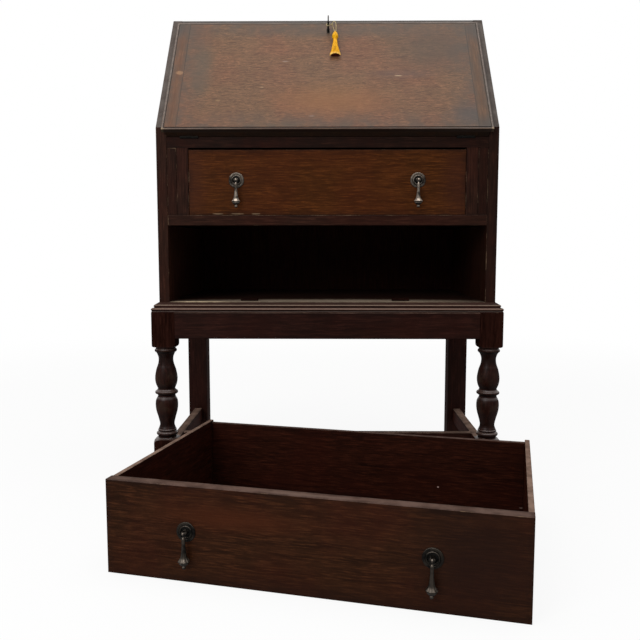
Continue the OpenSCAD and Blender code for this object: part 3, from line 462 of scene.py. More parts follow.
def make_metal():
    """Old metal in bright and tarnished patches; the more it is handled, the more of it is bright.
    """
    take, end = group("Aged metal", {
        "Vector": ORIGIN, "Seed": 0, "Bright": WHITE, "Dull": BLACK, "Handled": 0.5},
        ("Color", "Tarnish", "Height"))
    spot = seeded(take, (1, 1, 0))
    patches = clouds(spot, 70)
    tarnish = ranged(patches - (take["Handled"] - 0.5) * 0.6, 0.36, 0.62)
    feed(end, {
        "Color": mixed(tarnish, take["Bright"], take["Dull"]), "Tarnish": tarnish,
        "Height": clouds(spot, 900) * 0.5 + patches})


def make_thread():
    """Silk or cord fibres that run along Z of the vector given, in paler and darker threads."""
    take, end = group("Spun thread", {
        "Vector": ORIGIN, "Thread width": 0.0006, "Tone": WHITE, "Light": WHITE,
        "Dark": BLACK}, ("Color", "Height"))
    pitch = 1 / take["Thread width"]
    fibres = clouds(take["Vector"] * joined(pitch, pitch, pitch * 0.05), 1, 2, 0.6)
    tone = mixed(ranged(fibres, 0.3, 0.5), take["Dark"], take["Tone"])
    tone = mixed(ranged(fibres, 0.5, 0.72), tone, take["Light"])
    feed(end, {"Color": tone, "Height": fibres})


EFFECTS = (
    make_grain, make_edges, make_facing, make_rub, make_age, make_spot, make_metal, make_thread)


# Materials

GRAIN_TURN = {"X": (0, 0, 0), "Y": (0, 0, -math.pi / 2), "Z": (0, math.pi / 2, 0)}


def cleared(owner):
    """The node tree of a new material or world, made empty."""
    owner.use_nodes = True
    owner.node_tree.nodes.clear()
    return owner.node_tree


def new_material(name):
    """A new material, its tree and the inputs of its shader."""
    material = bpy.data.materials.new(name)
    tree = cleared(material)
    shader = tree.nodes.new("ShaderNodeBsdfPrincipled")
    feed(tree.nodes.new("ShaderNodeOutputMaterial").inputs, {"Surface": Wire(shader.outputs[0])})
    return material, tree, shader.inputs


def own_coordinates(tree, where, halves=False):
    """Object coordinates in a piece's own place; with halves, mirrored onto its right half."""
    spot = put(tree, "TexCoord", output="Object")
    if where != WHOLE:
        spot = put(tree, "Mapping", {
            "Vector": spot, "Location": where.to_translation(), "Rotation": where.to_euler()},
            vector_type="TEXTURE")
    return spot.reckon("ABSOLUTE", spot) if halves else spot


def grained(spot, along, seed, tone, dark, light, streaks, waviness, flecks=0.15):
    """Oak grain along an axis, with its darkest and lightest streaks as shares of its tone."""
    fibre = put(spot.tree, "Mapping", {"Vector": spot, "Rotation": GRAIN_TURN[along]})
    width = bpy.context.scene.bureau_oak.streaks * streaks
    return place(spot.tree, "Oak grain", {
        "Vector": fibre, "Seed": seed, "Streak width": width, "Waviness": waviness,
        "Flecks": flecks, "Dark": shaded(tone, dark), "Tone": tone, "Light": shaded(tone, light)})


def facing(tree):
    """How far the surface faces up and how far it faces down."""
    sides = place(tree, "Facing", {"Normal": put(tree, "TexCoord", output="Normal")})
    return sides["Up"], sides["Down"]


def oak(node, tone, seed, where=WHOLE, along="X", halves=False, red=0.25, contrast=0.5,
        streaks=1.0, waviness=0.004, flecks=0.15, wear=1.0, grime=0.5, dirt=None, border=0.03,
        faded=0.6, fade_tone=None, seams=False, gloss=0.5, coat=0.08, marks=()):
    """Stained and waxed oak for the board, or the set of like boards, in one node.

    The shares red, grime and coat say how much there is of redder stain, of dirt near the edges
    and of polish; the fade share says how much paler the tops are, partly fading of the stain
    and partly painted light from above. What faces down is darkened with painted shade. With
    seams, the edges are dark lines, not rubbed. Each mark is its centre, size, softness, colour
    and strength.
    """
    finish = bpy.context.scene.bureau_oak
    dirt = dirt or finish.grime_and_shade_tone
    low, high = extent(node, where, halves)
    material, tree, shader = new_material(f"{node} oak")
    spot = own_coordinates(tree, where, halves)
    grain = grained(spot, along, seed, tone, 1 - contrast, 1 + contrast * 1.3, streaks,
                    waviness, flecks)
    age = place(tree, "Aged patches", {"Vector": spot, "Seed": seed + 3.1, "Patch size": 0.13})
    as_red = shaded(finish.red_tone, sum(tone) / max(1e-4, sum(finish.red_tone)))
    colour = mixed(age["Mask"] * red, grain["Color"], as_red)
    colour = mixed(age["Cloud"] * 0.35, colour, shaded(tone, 0.55))
    for centre, size, softness, code, strength in marks:
        mark = place(tree, "Single mark", {
            "Vector": spot, "Centre": centre, "Size": size, "Softness": softness,
            "Breakup": 1.3 - softness})["Mask"]
        colour = mixed(mark * strength, colour, linear(code))
    rough = ranged(grain["Streaks"], 0.0, 1.0, gloss + 0.08, gloss - 0.04, "LINEAR")
    up, down = facing(tree)
    # What faces up is made paler: partly fading of the stain, partly painted light from above
    if faded:
        patchy = ranged(age["Cloud"], 0.0, 1.0, faded, faded * 0.6, "LINEAR")
        colour = mixed(up * patchy, colour, fade_tone or finish.faded_tone)
    edges = place(tree, "Board edges", {
        "Vector": spot, "Low": low, "High": high, "Width": 0.0026, "Border width": border})
    soft = edges["Border"] * ranged(age["Cloud"], 0.0, 1.0, 0.4, 1.0)
    colour = mixed(soft * grime, colour, dirt)
    if seams:
        seam = ranged(edges["Edge"], 0.55, 0.95, 0.0, 0.6)
        colour = mixed(seam, colour, shaded(dirt, 0.4))
    elif wear:
        rub = place(tree, "Rubbed edges", {
            "Vector": spot, "Edge": edges["Edge"], "Seed": seed,
            "Amount": finish.wear * wear})["Mask"] * 0.75
        colour = mixed(rub, colour, finish.rubbed_tone)
        rough = rub * 0.15 + rough
    # What faces down is darkened towards the old-wax tone, painted shade, and its polish is taken
    # off
    feed(shader, {
        "Base Color": mixed(down * 0.9, colour, finish.grime_and_shade_tone), "Roughness": rough,
        "Normal": bump(grain["Height"], 0.5, 0.0005), "Specular IOR Level": 0.0,
        "Coat Weight": ranged(down, 0.0, 1.0, coat, 0.0), "Coat Roughness": gloss})
    return material


def turned_oak(node, tone, seed):
    """Stained oak of a turned leg: darker in its hollows, paler on its rings, with painted light on
    what faces up and painted shade on what faces down.
    """
    finish = bpy.context.scene.bureau_oak
    low, high = extent(node)
    axis = Matrix.Translation(((low[0] + high[0]) / 2, (low[1] + high[1]) / 2, 0))
    material, tree, shader = new_material(f"{node} oak")
    spot = own_coordinates(tree, axis)
    grain = grained(spot, "Z", seed, tone, 0.45, 1.4, 0.8, 0.003)
    cloud = place(tree, "Aged patches", {
        "Vector": spot, "Seed": seed + 1, "Patch size": 0.08})["Cloud"]
    radius = length(spot * (1, 1, 0))
    height = parts(spot)[2]
    rings = ranged(radius, 0.0205, 0.0242)
    hollows = ranged(radius, 0.0185, 0.0145)
    turned = (
        ranged(height, TURNED_FROM - TURNED_SOFT, TURNED_FROM + TURNED_SOFT)
        * ranged(height, TURNED_TO + TURNED_SOFT, TURNED_TO - TURNED_SOFT))
    colour = mixed(hollows * 0.55, grain["Color"], finish.grime_and_shade_tone)
    # Paler on the proud rings of the turning: wear, and painted highlights where the rings catch
    # the light
    worn = rings * turned * ranged(cloud, 0.25, 0.9, 0.0, 0.2)
    colour = mixed(worn, colour, shaded(finish.rubbed_tone, 0.35))
    up, down = facing(tree)
    # Painted highlights on what faces up, and painted shade on what faces down
    colour = mixed(ranged(up, 0.5, 1.0, 0.0, 0.4), colour, finish.faded_tone)
    colour = mixed(down * 0.85, colour, shaded(finish.grime_and_shade_tone, 0.6))
    feed(shader, {
        "Base Color": colour, "Roughness": ranged(cloud, 0.0, 1.0, 0.3, 0.42),
        "Normal": bump(grain["Height"], 0.35, 0.0004), "Specular IOR Level": 0.0,
        "Coat Weight": most(turned * 0.1, up), "Coat Roughness": 0.36})
    return material


def old_metal(name, bright, dull, seed, handled=0.5, roughness=0.34, where=WHOLE, hollow=None):
    """Bronze or iron with painted highlights on what faces up and painted shade on what faces down;
    hollow is a dark ring, as its centre and two radii, on both halves.
    """
    material, tree, shader = new_material(name)
    spot = own_coordinates(tree, where, halves=hollow is not None)
    metal = place(tree, "Aged metal", {
        "Vector": spot, "Seed": seed, "Bright": bright, "Dull": dull, "Handled": handled})
    up, shade_and_dish = facing(tree)
    if hollow:
        centre, inner, outer = hollow
        soft = 0.0008
        aside = length((spot - centre) * (1, 0, 1))
        pit = ranged(aside, inner, inner + soft) * ranged(aside, outer, outer - soft)
        shade_and_dish = most(shade_and_dish, pit * 0.9)
    # Painted highlight on what faces up; what faces down is darkened as painted shade, and the
    # dish's dark ring takes the same dark tone
    colour = mixed(up * 0.9, metal["Color"], shaded(bright, 3.4))
    colour = mixed(shade_and_dish, colour, shaded(dull, 0.35))
    bare = ranged(metal["Tarnish"], 0.0, 1.0, 1.0, 0.55, "LINEAR")
    rough = ranged(metal["Tarnish"], 0.0, 1.0, roughness, roughness + 0.25, "LINEAR")
    feed(shader, {
        "Base Color": colour, "Metallic": bare * (1 - shade_and_dish),
        "Roughness": shade_and_dish * 0.4 + rough, "Normal": bump(metal["Height"], 0.25, 0.0003),
        "Specular IOR Level": 0.15})
    return material


def thread(name, tone, light, dark, width, where, roughness=0.6, ends=None):
    """Cord or silk; ends is the height below which the threads are paler, and their colour."""
    material, tree, shader = new_material(name)
    spot = own_coordinates(tree, where)
    spun = place(tree, "Spun thread", {
        "Vector": spot, "Thread width": width, "Tone": tone, "Light": light, "Dark": dark})
    colour = spun["Color"]
    if ends:
        below, pale = ends
        fray = ranged(parts(spot)[2], below, below - 0.007, 0.0, 0.6)
        colour = mixed(fray, colour, pale)
    rough = ranged(spun["Height"], 0.3, 0.7, roughness + 0.1, roughness - 0.1, "LINEAR")
    feed(shader, {
        "Base Color": colour, "Roughness": rough, "Normal": bump(spun["Height"], 0.4, 0.0002),
        "Specular IOR Level": 0.12})
    return material


# Meshes

def new_piece(name, mesh, material, body, slot, smooth=None):
    """A piece from a bmesh, on its body; smooth is the angle up to which its faces blend."""
    data = bpy.data.meshes.new(name)
    mesh.to_mesh(data)
    mesh.free()
    piece = bpy.data.objects.new(name, data)
    bpy.context.scene.collection.objects.link(piece)
    data.materials.append(material)
    if smooth is not None:
        data.polygons.foreach_set("use_smooth", [True] * len(data.polygons))
        data.set_sharp_from_angle(angle=math.radians(smooth))
    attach(piece, body)
    return piece


def stand_in(node, ending, mesh, material, slot, smooth=None):
    """A piece that is shown in place of a node, on the node's own body."""
    piece = new_piece(f"{node}_{ending}", mesh, material, NODES[node]["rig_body"], slot, smooth)
    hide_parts(node)
    return piece


def dress(node, material):
    """Gives a solid that is shown as it is its material."""
    solid = NODES[node]
    if not solid.material_slots:
        solid.data.materials.append(None)
    for slot in solid.material_slots:
        slot.material = material


def cleaned(node):
    """A copy of a node's mesh with its flat faces made whole."""
    mesh = bmesh.new()
    mesh.from_mesh(NODES[node].data)
    bmesh.ops.remove_doubles(mesh, verts=mesh.verts, dist=2e-5)
    bmesh.ops.dissolve_limit(
        mesh, angle_limit=math.radians(0.6), verts=mesh.verts, edges=mesh.edges)
    return mesh


def long_edges(mesh, longer, sharper):
    """Edges longer than one length whose two faces meet at more than one angle."""
    return [
        e for e in mesh.edges
        if len(e.link_faces) == 2 and e.calc_length() > longer
        and e.calc_face_angle(0) > sharper]


def rounded(mesh, edges, width, segments):
    """Rounds edges of a mesh over."""
    bmesh.ops.bevel(
        mesh, geom=edges, offset=width, segments=segments, profile=0.5, affect="EDGES",
        clamp_overlap=True)


def eased_board(node, tone, seed, width=None, slot="stained oak", **look):
    """The node's board in oak, with its long arrises rounded, in place of the sharp solid."""
    mesh = cleaned(node)
    arrises = [e for e in long_edges(mesh, longer=0.03, sharper=0.6) if e.is_convex]
    rounded(mesh, arrises, width or bpy.context.scene.bureau_oak.arris, segments=3)
    stand_in(node, "eased", mesh, oak(node, tone, seed, **look), slot)


def plain_board(node, tone, seed, **look):
    """The node's board in oak, shown as the solid that it is."""
    dress(node, oak(node, tone, seed, **look))


def round_angles(sides):
    return [2 * math.pi * k / sides for k in range(sides)]


def skin(mesh, rings):
    """Faces between rings of points, with both ends closed."""
    for a, b in zip(rings, rings[1:]):
        for k in range(len(a)):
            after = (k + 1) % len(a)
            mesh.faces.new((a[k], a[after], b[after], b[k]))
    mesh.faces.new(rings[-1])
    mesh.faces.new(reversed(rings[0]))


def lathe(mesh, outline, sides, ripple, where=WHOLE):
    """Turns an outline of (radius, height) about Z; ripple changes the radius with the angle."""
    rings = []
    for radius, height in outline:
        ring = []
        for angle in round_angles(sides):
            r = radius * ripple(angle, height)
            spot = where @ Vector((r * math.cos(angle), r * math.sin(angle), height))
            ring.append(mesh.verts.new(spot))
        rings.append(ring)
    skin(mesh, rings)


def followed(path):
    """Each point of a path, with two directions across it that turn with it."""
    side = None
    for i, point in enumerate(path):
        ahead = (path[min(i + 1, len(path) - 1)] - path[max(i - 1, 0)]).normalized()
        if side is None:
            side = ahead.orthogonal().normalized()
        side = (side - ahead * side.dot(ahead)).normalized()
        yield point, side, ahead.cross(side)


def tube(mesh, path, radius, sides=8):
    """A tube along a list of points; its radius may change with the share of its length."""
    rings = []
    for i, (point, side, up) in enumerate(followed(path)):
        r = radius(i / (len(path) - 1)) if callable(radius) else radius
        rings.append([
            mesh.verts.new(point + r * (math.cos(angle) * side + math.sin(angle) * up))
            for angle in round_angles(sides)])
    skin(mesh, rings)


def smooth_route(points, steps):
    """A smooth curve through the points, with a number of steps between neighbours."""
    points = [Vector(p) for p in points]
    route = []
    for i in range(len(points) - 1):
        a, b = points[max(i - 1, 0)], points[i]
        c, d = points[i + 1], points[min(i + 2, len(points) - 1)]
        for k in range(steps):
            t = k / steps
            route.append((
                2 * b + (c - a) * t + (2 * a - 5 * b + 4 * c - d) * t * t
                + (3 * b - a - 3 * c + d) * t * t * t) / 2)
    return route + [points[-1]]


def winding(where, radius, turns, steps, start=0.0, end=0.0, along="Z"):
    """Points of turns round an axis, from one height on it to another."""
    points = []
    for k in range(turns * steps + 1):
        angle = 2 * math.pi * k / steps
        x, y = radius * math.cos(angle), radius * math.sin(angle)
        height = start + (end - start) * k / (turns * steps)
        points.append(where @ Vector((height, x, y) if along == "X" else (x, y, height)))
    return points


def twisted(mesh, path, diameter, pitch):
    """Two plies twisted round a route, together as thick as the cord."""
    ply = diameter * 0.27
    far = 0.0
    plies = [[], []]
    for i, (point, side, up) in enumerate(followed(path)):
        far += (point - path[i - 1]).length if i else 0
        turn = 2 * math.pi * far / pitch
        out = math.cos(turn) * side + math.sin(turn) * up
        plies[0].append(point + out * (diameter / 2 - ply))
        plies[1].append(point - out * (diameter / 2 - ply))
    for line in plies:
        tube(mesh, line, ply)


# The pieces

class BUREAU_OT_case(bpy.types.Operator):
    """Dress the case: sides, top, rails, uprights, back, bed and the bay's inside"""

    bl_idname = "bureau.case"
    bl_label = "Case"

    def execute(self, context):
        finish = context.scene.bureau_oak
        case = finish.case_tone
        # The left side is made lighter than the right, painting the light from the left; the sides'
        # up-facing edges beside the slope take the pale slope tone, painted sheen
        for node, share, seed in (("side_left", 1.35, 2.3), ("side_right", 0.85, 3.3)):
            eased_board(node, shaded(case, share), seed, along="Z", wear=0.8, border=0.012,
                        faded=0.9, fade_tone=finish.slope_tone)
        eased_board("top_board", shaded(finish.slope_tone, 0.62), 5.2, wear=0.5, coat=0.3,
                    gloss=0.45, faded=0, dirt=finish.edge_tone, contrast=0.3, red=0.06,
                    waviness=0.011)
        eased_board("top_rail", shaded(case, 0.8), 6.1, wear=0.15, red=0.4)
        eased_board("mid_rail", shaded(case, 1.15), 7.4, wear=0.9, grime=0.3, border=0.006)
        floor_front = extent("case_floor")[0][1]
        # A pale band along the front of the floor's top, worn and painted light from above; then a
        # pale worn patch further left
        eased_board("case_floor", shaded(case, 0.7), 8.8, faded=0.1, marks=(
            ((0, floor_front, 0.413), (0.4, 0.09, 0.009), 0.6, "#918270", 0.9),
            ((-0.27, floor_front, 0.4125), (0.075, 0.02, 0.003), 0.7, "#dcc6a4", 0.95)))
        eased_board("muntins", shaded(case, 1.1), 9.6, along="Z", halves=True, wear=0.7,
                    border=0.006)
        unseen = {"wear": 0, "faded": 0, "gloss": 0.62, "coat": 0.06}
        # The bay's boards are darkened to 0.6 of the inside tone, painting the deep shade inside
        # the bay
        inside = shaded(finish.inside_tone, 0.6)
        plain_board("back_boards", inside, 11.3, along="Z", contrast=0.65,
                    marks=self.back_joints(), **unseen)
        for node, along, halves, seed in (
                ("drawer_runners", "Y", True, 12.3), ("writing_bed", "X", False, 13.3),
                ("loper_guides", "Y", True, 14.3), ("drawer_stops", "X", False, 15.3)):
            plain_board(node, inside, seed, along=along, halves=halves, **unseen)
        return {"FINISHED"}

    @staticmethod
    def back_joints(boards=5):
        """Dark lines where the back boards meet."""
        low, high = extent("back_boards")
        width = (high[0] - low[0]) / boards
        return [
            ((low[0] + width * n, high[1], (low[2] + high[2]) / 2), (0.0016, 0.004, 1.0), 0.9,
             "#070403", 0.9) for n in range(1, boards)]


class BUREAU_OT_stand(bpy.types.Operator):
    """Dress the stand: moulding, frieze, turned and square legs, stretchers"""

    bl_idname = "bureau.stand"
    bl_label = "Stand"

    def execute(self, context):
        finish = context.scene.bureau_oak
        tone = finish.stand_tone
        foot = extent("stand_moulding")[0][2]
        # Pale lines along the moulding's arrises: wear, and painted highlights where they catch the
        # light
        endless = 50
        worn_and_lit_lines = [
            ((0, 0, foot + rise), (endless, endless, half), 0.8, code, strength)
            for rise, half, code, strength in (
                (0.0152, 0.0011, "#94806f", 0.85), (0.0078, 0.0022, "#81695c", 0.85),
                (0.0026, 0.0008, "#7a6f68", 0.6))]
        moulding = oak("stand_moulding", shaded(tone, 1.15), 21.5, wear=0.6, border=0.008,
                       grime=0.2, gloss=0.42, coat=0.12, faded=0.25, marks=worn_and_lit_lines)
        stand_in("stand_moulding", "eased", cleaned("stand_moulding"), moulding, "stained oak",
                 smooth=25)
        # The stretchers are lightened to 1.6 of the stand's tone, painting the light they catch
        # from the floor; what faces up on these boards takes the dusty tone, dust and painted sheen
        for step, (node, along, share) in enumerate((
                ("frieze_front", "X", 1.0), ("frieze_back", "X", 1.0), ("frieze_left", "Y", 1.0),
                ("frieze_right", "Y", 1.0), ("stretcher_left", "Y", 1.6),
                ("stretcher_right", "Y", 1.6), ("stretcher_cross", "X", 1.6),
                ("leg_back_left", "Z", 1.0), ("leg_back_right", "Z", 1.0))):
            eased_board(node, shaded(tone, share), 23.1 + step * 1.7, along=along, wear=0.25,
                        border=0.012, faded=0.95, fade_tone=finish.dust_and_sheen_tone)
        for node, seed in (("leg_front_left", 41.3), ("leg_front_right", 42.3)):
            self.turned_leg(node, turned_oak(node, shaded(tone, 0.95), seed))
        return {"FINISHED"}

    @staticmethod
    def turned_leg(node, material):
        """A front leg with its blocks' corners eased, its turning smooth and its faces flat."""
        mesh = cleaned(node)
        corners = [
            e for e in long_edges(mesh, longer=0.04, sharper=1.2)
            if abs((e.verts[0].co - e.verts[1].co).normalized().z) > 0.99]
        rounded(mesh, corners, width=0.001, segments=2)
        piece = stand_in(node, "turned", mesh, material, "stained oak", smooth=32)
        broad = 0.0004
        for face in piece.data.polygons:
            face.use_smooth = face.area < broad


def on_lid(x, y, wide, tall, softness, code, strength, deep=0.03):
    """A mark on the fall front's outer face, at a place across it and up the slope."""
    return (x, y, LID_T), (wide, tall, deep), softness, code, strength


class BUREAU_OT_fall_front(bpy.types.Operator):
    """Dress the fall front: its panel, two cleats and the bead round them"""

    bl_idname = "bureau.fall_front"
    bl_label = "Fall front"

    def execute(self, context):
        finish = context.scene.bureau_oak
        tone = finish.fall_tone
        waxed = {
            "where": FALL, "dirt": finish.edge_tone, "seams": True, "gloss": 0.45, "coat": 0.38,
            "faded": 0}
        plain_board("lid_panel", tone, 51.7, streaks=0.36, waviness=0.022, flecks=0.45,
                    border=0.06, grime=0.7, red=0.16, marks=self.panel_marks(), **waxed)
        ends = [on_lid(side * 0.335, y, 0.04, 0.05, 0.95, "#3f3b37", 0.75)
                for side, y in ((-1, 0.32), (1, 0.31), (1, 0.0))]
        knot = on_lid(-0.3217, 0.1706, 0.01, 0.007, 0.5, "#96704f", 0.7)
        for node, share, red, seed, marks in (
                ("lid_cleat_left", 0.82, 0.12, 57.2, [*ends, knot]),
                ("lid_cleat_right", 0.68, 0.05, 58.2, ends)):
            plain_board(node, shaded(tone, share), seed, along="Y", contrast=0.25,
                        border=0.012, grime=0.6, red=red, marks=marks, **waxed)
        low, high = extent("lid_bead", FALL)
        # A darker, browner band along the bead's lower edge paints part of the shade under the
        # lid's foot; the ends get pale worn tips
        underside = on_lid(0, low[1], 0.5, 0.012, 0.9, "#483226", 0.85, deep=0.05)
        tips = [on_lid(x, low[1], 0.007, 0.007, 0.8, "#ab967b", 0.9, deep=0.05)
                for x in (low[0], high[0])]
        bead = oak("lid_bead", finish.bead_tone, 61.9, where=FALL, red=0.05, contrast=0.3,
                   wear=1.4, border=0.003, grime=0.1, gloss=0.38, coat=0.4, faded=0,
                   dirt=finish.edge_tone, marks=[underside, *tips])
        stand_in("lid_bead", "worked", cleaned("lid_bead"), bead, "stained oak", smooth=25)
        return {"FINISHED"}

    @staticmethod
    def panel_marks():
        """Broad lighter and darker patches of the panel, then its small scratches; the first, paler
        and warmer patch low in the middle paints the sheen's brightest place.
        """
        return [on_lid(*mark) for mark in (
            (0.01, 0.085, 0.17, 0.07, 0.95, "#87592f", 0.45),
            (-0.275, 0.18, 0.035, 0.12, 0.9, "#4a473b", 0.5),
            (0.24, 0.25, 0.14, 0.11, 0.95, "#41382f", 0.6),
            (0.0, 0.31, 0.34, 0.03, 0.95, "#4a4038", 0.45),
            (0.3, 0.04, 0.06, 0.05, 0.9, "#3d3c40", 0.6),
            (0.16, 0.165, 0.09, 0.02, 0.9, "#463f3f", 0.3),
            (0.1542, 0.1595, 0.011, 0.0014, 0.6, "#c4a985", 0.75),
            (-0.14, 0.1247, 0.006, 0.002, 0.8, "#a58c6c", 0.45),
            (-0.092, 0.2064, 0.01, 0.003, 0.8, "#94857a", 0.4),
            (-0.2318, 0.0847, 0.007, 0.003, 0.8, "#9c7c54", 0.4),
            (-0.032, 0.038, 0.008, 0.003, 0.8, "#9c887c", 0.35))]


class BUREAU_OT_lopers(bpy.types.Operator):
    """Dress the two lopers that carry the open fall front"""

    bl_idname = "bureau.lopers"
    bl_label = "Lopers"

    def execute(self, context):
        tone = context.scene.bureau_oak.case_tone
        # The left loper is made lighter than the right, painting the light from the left
        for node, share, seed in (("loper_left", 1.0, 66.1), ("loper_right", 0.75, 67.1)):
            eased_board(node, shaded(tone, share), seed, width=0.001, along="Z", wear=0.8,
                        border=0.005)
        return {"FINISHED"}


class BUREAU_OT_upper_drawer(bpy.types.Operator):
    """Dress the upper drawer"""

    bl_idname = "bureau.upper_drawer"
    bl_label = "Upper drawer"

    def execute(self, context):
        front = extent("upper_drawer_front")[0][1]
        chips = [((x, front, 0.5985), (half, 0.01, 0.0014), 0.3, "#8a755c", 0.6)
                 for x, half in ((-0.23, 0.012), (-0.19, 0.016), (-0.15, 0.01))]
        eased_board(
            "upper_drawer_front", context.scene.bureau_oak.front_tone, 71.4, wear=0.8,
            border=0.012, red=0.2, streaks=0.7, marks=[
                ((-0.29, front, 0.66), (0.05, 0.05, 0.12), 0.95, "#3c2015", 0.6),
                ((0.28, front, 0.66), (0.06, 0.05, 0.12), 0.95, "#361b12", 0.7), *chips])
        drawer_inside("upper_drawer", WHOLE, 74.2)
        return {"FINISHED"}


class BUREAU_OT_lower_drawer(bpy.types.Operator):
    """Dress the lower drawer, which lies on the floor"""

    bl_idname = "bureau.lower_drawer"
    bl_label = "Lower drawer"

    def execute(self, context):
        finish = context.scene.bureau_oak
        # What faces up on the front's rim is paler, painted light from above; the dark mark at its
        # right end is painted shade
        eased_board(
            "lower_drawer_front", finish.loose_tone, 81.9, where=LOOSE, wear=0.5,
            border=0.012, red=0.3, contrast=0.6, streaks=0.8, faded=0.9,
            fade_tone=shaded(finish.faded_tone, 1.35), marks=(
                ((-0.12, 0, 0.11), (0.17, 0.03, 0.03), 0.95, "#45200f", 0.6),
                ((0.26, 0, 0.08), (0.14, 0.03, 0.14), 0.95, "#1f100b", 0.8),
                ((0, 0, 0), (0.5, 0.03, 0.03), 0.95, "#24130c", 0.6),
                ((0, 0.008, 0.157), (0.09, 0.006, 0.004), 0.5, "#8c7a6e", 0.5)))
        drawer_inside("lower_drawer", LOOSE, 84.6, (
            ((0.1605, 0.417, 0.0502), (0.0022, 0.01, 0.0016), 0.5, "#c9a9a0", 0.9),
            ((0.322, 0.417, 0.0217), (0.004, 0.01, 0.0012), 0.5, "#a08a80", 0.7)))
        return {"FINISHED"}


def drawer_inside(name, where, seed, chips=()):
    """Sides, back and bottom of a long drawer; chips are pale marks on its back."""
    finish = bpy.context.scene.bureau_oak
    look = {"where": where, "wear": 0.3, "border": 0.02, "grime": 0.3, "gloss": 0.55,
            "red": 0.3, "contrast": 0.65, "streaks": 0.8}
    tones = [shaded(finish.inside_tone, share) for share in (1.25, 1.27, 0.8)]
    # What faces up on the sides and back is paler: dust and painted sheen of the light from above
    rubbed = {"width": 0.001, "slot": "inside wood", "faded": 0.95}
    eased_board(f"{name}_sides", tones[0], seed, along="Y", halves=True,
                fade_tone=finish.dust_and_sheen_tone, **rubbed, **look)
    eased_board(f"{name}_back", tones[1], seed + 1, marks=chips, **rubbed, **look)
    plain_board(f"{name}_bottom", tones[2], seed + 2, faded=0, **look)


class BUREAU_OT_nest(bpy.types.Operator):
    """Dress the nest of pigeonholes and its two small drawers"""

    bl_idname = "bureau.nest"
    bl_label = "Nest"

    def execute(self, context):
        tone = context.scene.bureau_oak.front_tone
        plain_board("nest_boards", tone, 91.2, wear=0.3, border=0.01, gloss=0.55)
        for node, seed in (("nest_drawer_left", 93.4), ("nest_drawer_right", 94.4)):
            plain_board(node, tone, seed, wear=0.7, border=0.01)
        return {"FINISHED"}


class BUREAU_OT_pulls(bpy.types.Operator):
    """Dress the four drop pulls and their round plates"""

    bl_idname = "bureau.pulls"
    bl_label = "Pulls"

    def execute(self, context):
        metal = context.scene.bureau_bronze
        dish_inner, dish_outer = 0.0046, 0.008
        for step, (drawer, where, dim) in enumerate((
                ("upper", WHOLE, 0.6), ("lower", LOOSE, 0.13))):
            bright, dull = shaded(metal.bright, dim), shaded(metal.dull, dim)
            plates = f"{drawer}_pull_plates"
            low, high = extent(plates, where, halves=True)
            middle = tuple((a + b) / 2 for a, b in zip(low, high))
            cast = old_metal(
                f"{drawer} plates bronze", shaded(bright, 0.8), dull, 3.3 + step,
                roughness=metal.polish, where=where, hollow=(middle, dish_inner, dish_outer))
            stand_in(plates, "cast", cleaned(plates), cast, "aged brass", smooth=30)
            for side in ("left", "right"):
                node = f"{drawer}_drop_{side}"
                cast = old_metal(f"{node} bronze", shaded(bright, 1.3), shaded(dull, 1.3),
                                 7.1 + step, handled=0.7, roughness=metal.polish)
                stand_in(node, "cast", self.fluted(node), cast, "aged brass", smooth=35)
        return {"FINISHED"}

    @staticmethod
    def fluted(node, flutes=8, depth=0.12):
        """A drop with shallow flutes down its bell."""
        mesh = cleaned(node)
        top = max(v.co.z for v in mesh.verts)
        foot = min(v.co.z for v in mesh.verts)
        low = [v.co for v in mesh.verts if v.co.z < foot + (top - foot) * 0.2]
        axis = sum(low, Vector()) / len(low)
        bell_from, bell_to = 0.35, 0.9
        for v in mesh.verts:
            down = (top - v.co.z) / (top - foot)
            if bell_from < down < bell_to:
                x, y = v.co.x - axis.x, v.co.y - axis.y
                ripple = 0.5 + 0.5 * math.cos(flutes * math.atan2(y, x))
                along = (down - bell_from) / (bell_to - bell_from)
                share = 1 - depth * ripple * math.sin(math.pi * along)
                v.co.x, v.co.y = axis.x + x * share, axis.y + y * share
        return mesh


class BUREAU_OT_lock(bpy.types.Operator):
    """Dress the lock, key, escutcheon, strike, hinges and screws"""

    bl_idname = "bureau.lock"
    bl_label = "Lock and hinges"

    def execute(self, context):
        metal = context.scene.bureau_bronze
        bronze = shaded(metal.bright, 0.45)
        # The hinge leaves are darkened to a tenth of the bronze, painted shade where they sit under
        # the lid's foot
        for step, (node, share) in enumerate((
                ("hinge_leaves_fixed", 0.1), ("hinge_leaves_moving", 0.1),
                ("strike_plate", 1.0), ("escutcheon", 0.16))):
            dress(node, old_metal(
                f"{node} bronze", shaded(bronze, share), shaded(metal.dull, min(1, share * 1.5)),
                13.3 + step, roughness=metal.polish))
        for step, node in enumerate(("lock_case", "lock_bolt", "hinge_pins", "case_screws",
                                     "lid_screws")):
            dress(node, old_metal(f"{node} iron", shaded(metal.iron, 2.2), metal.iron,
                                  19.3 + step, roughness=0.45))
        filed = old_metal("Key iron", shaded(metal.iron, 1.3), shaded(metal.iron, 0.5), 27.7,
                          roughness=0.42, where=FALL)
        stand_in("key", "filed", cleaned("key"), filed, "steel", smooth=30)
        return {"FINISHED"}


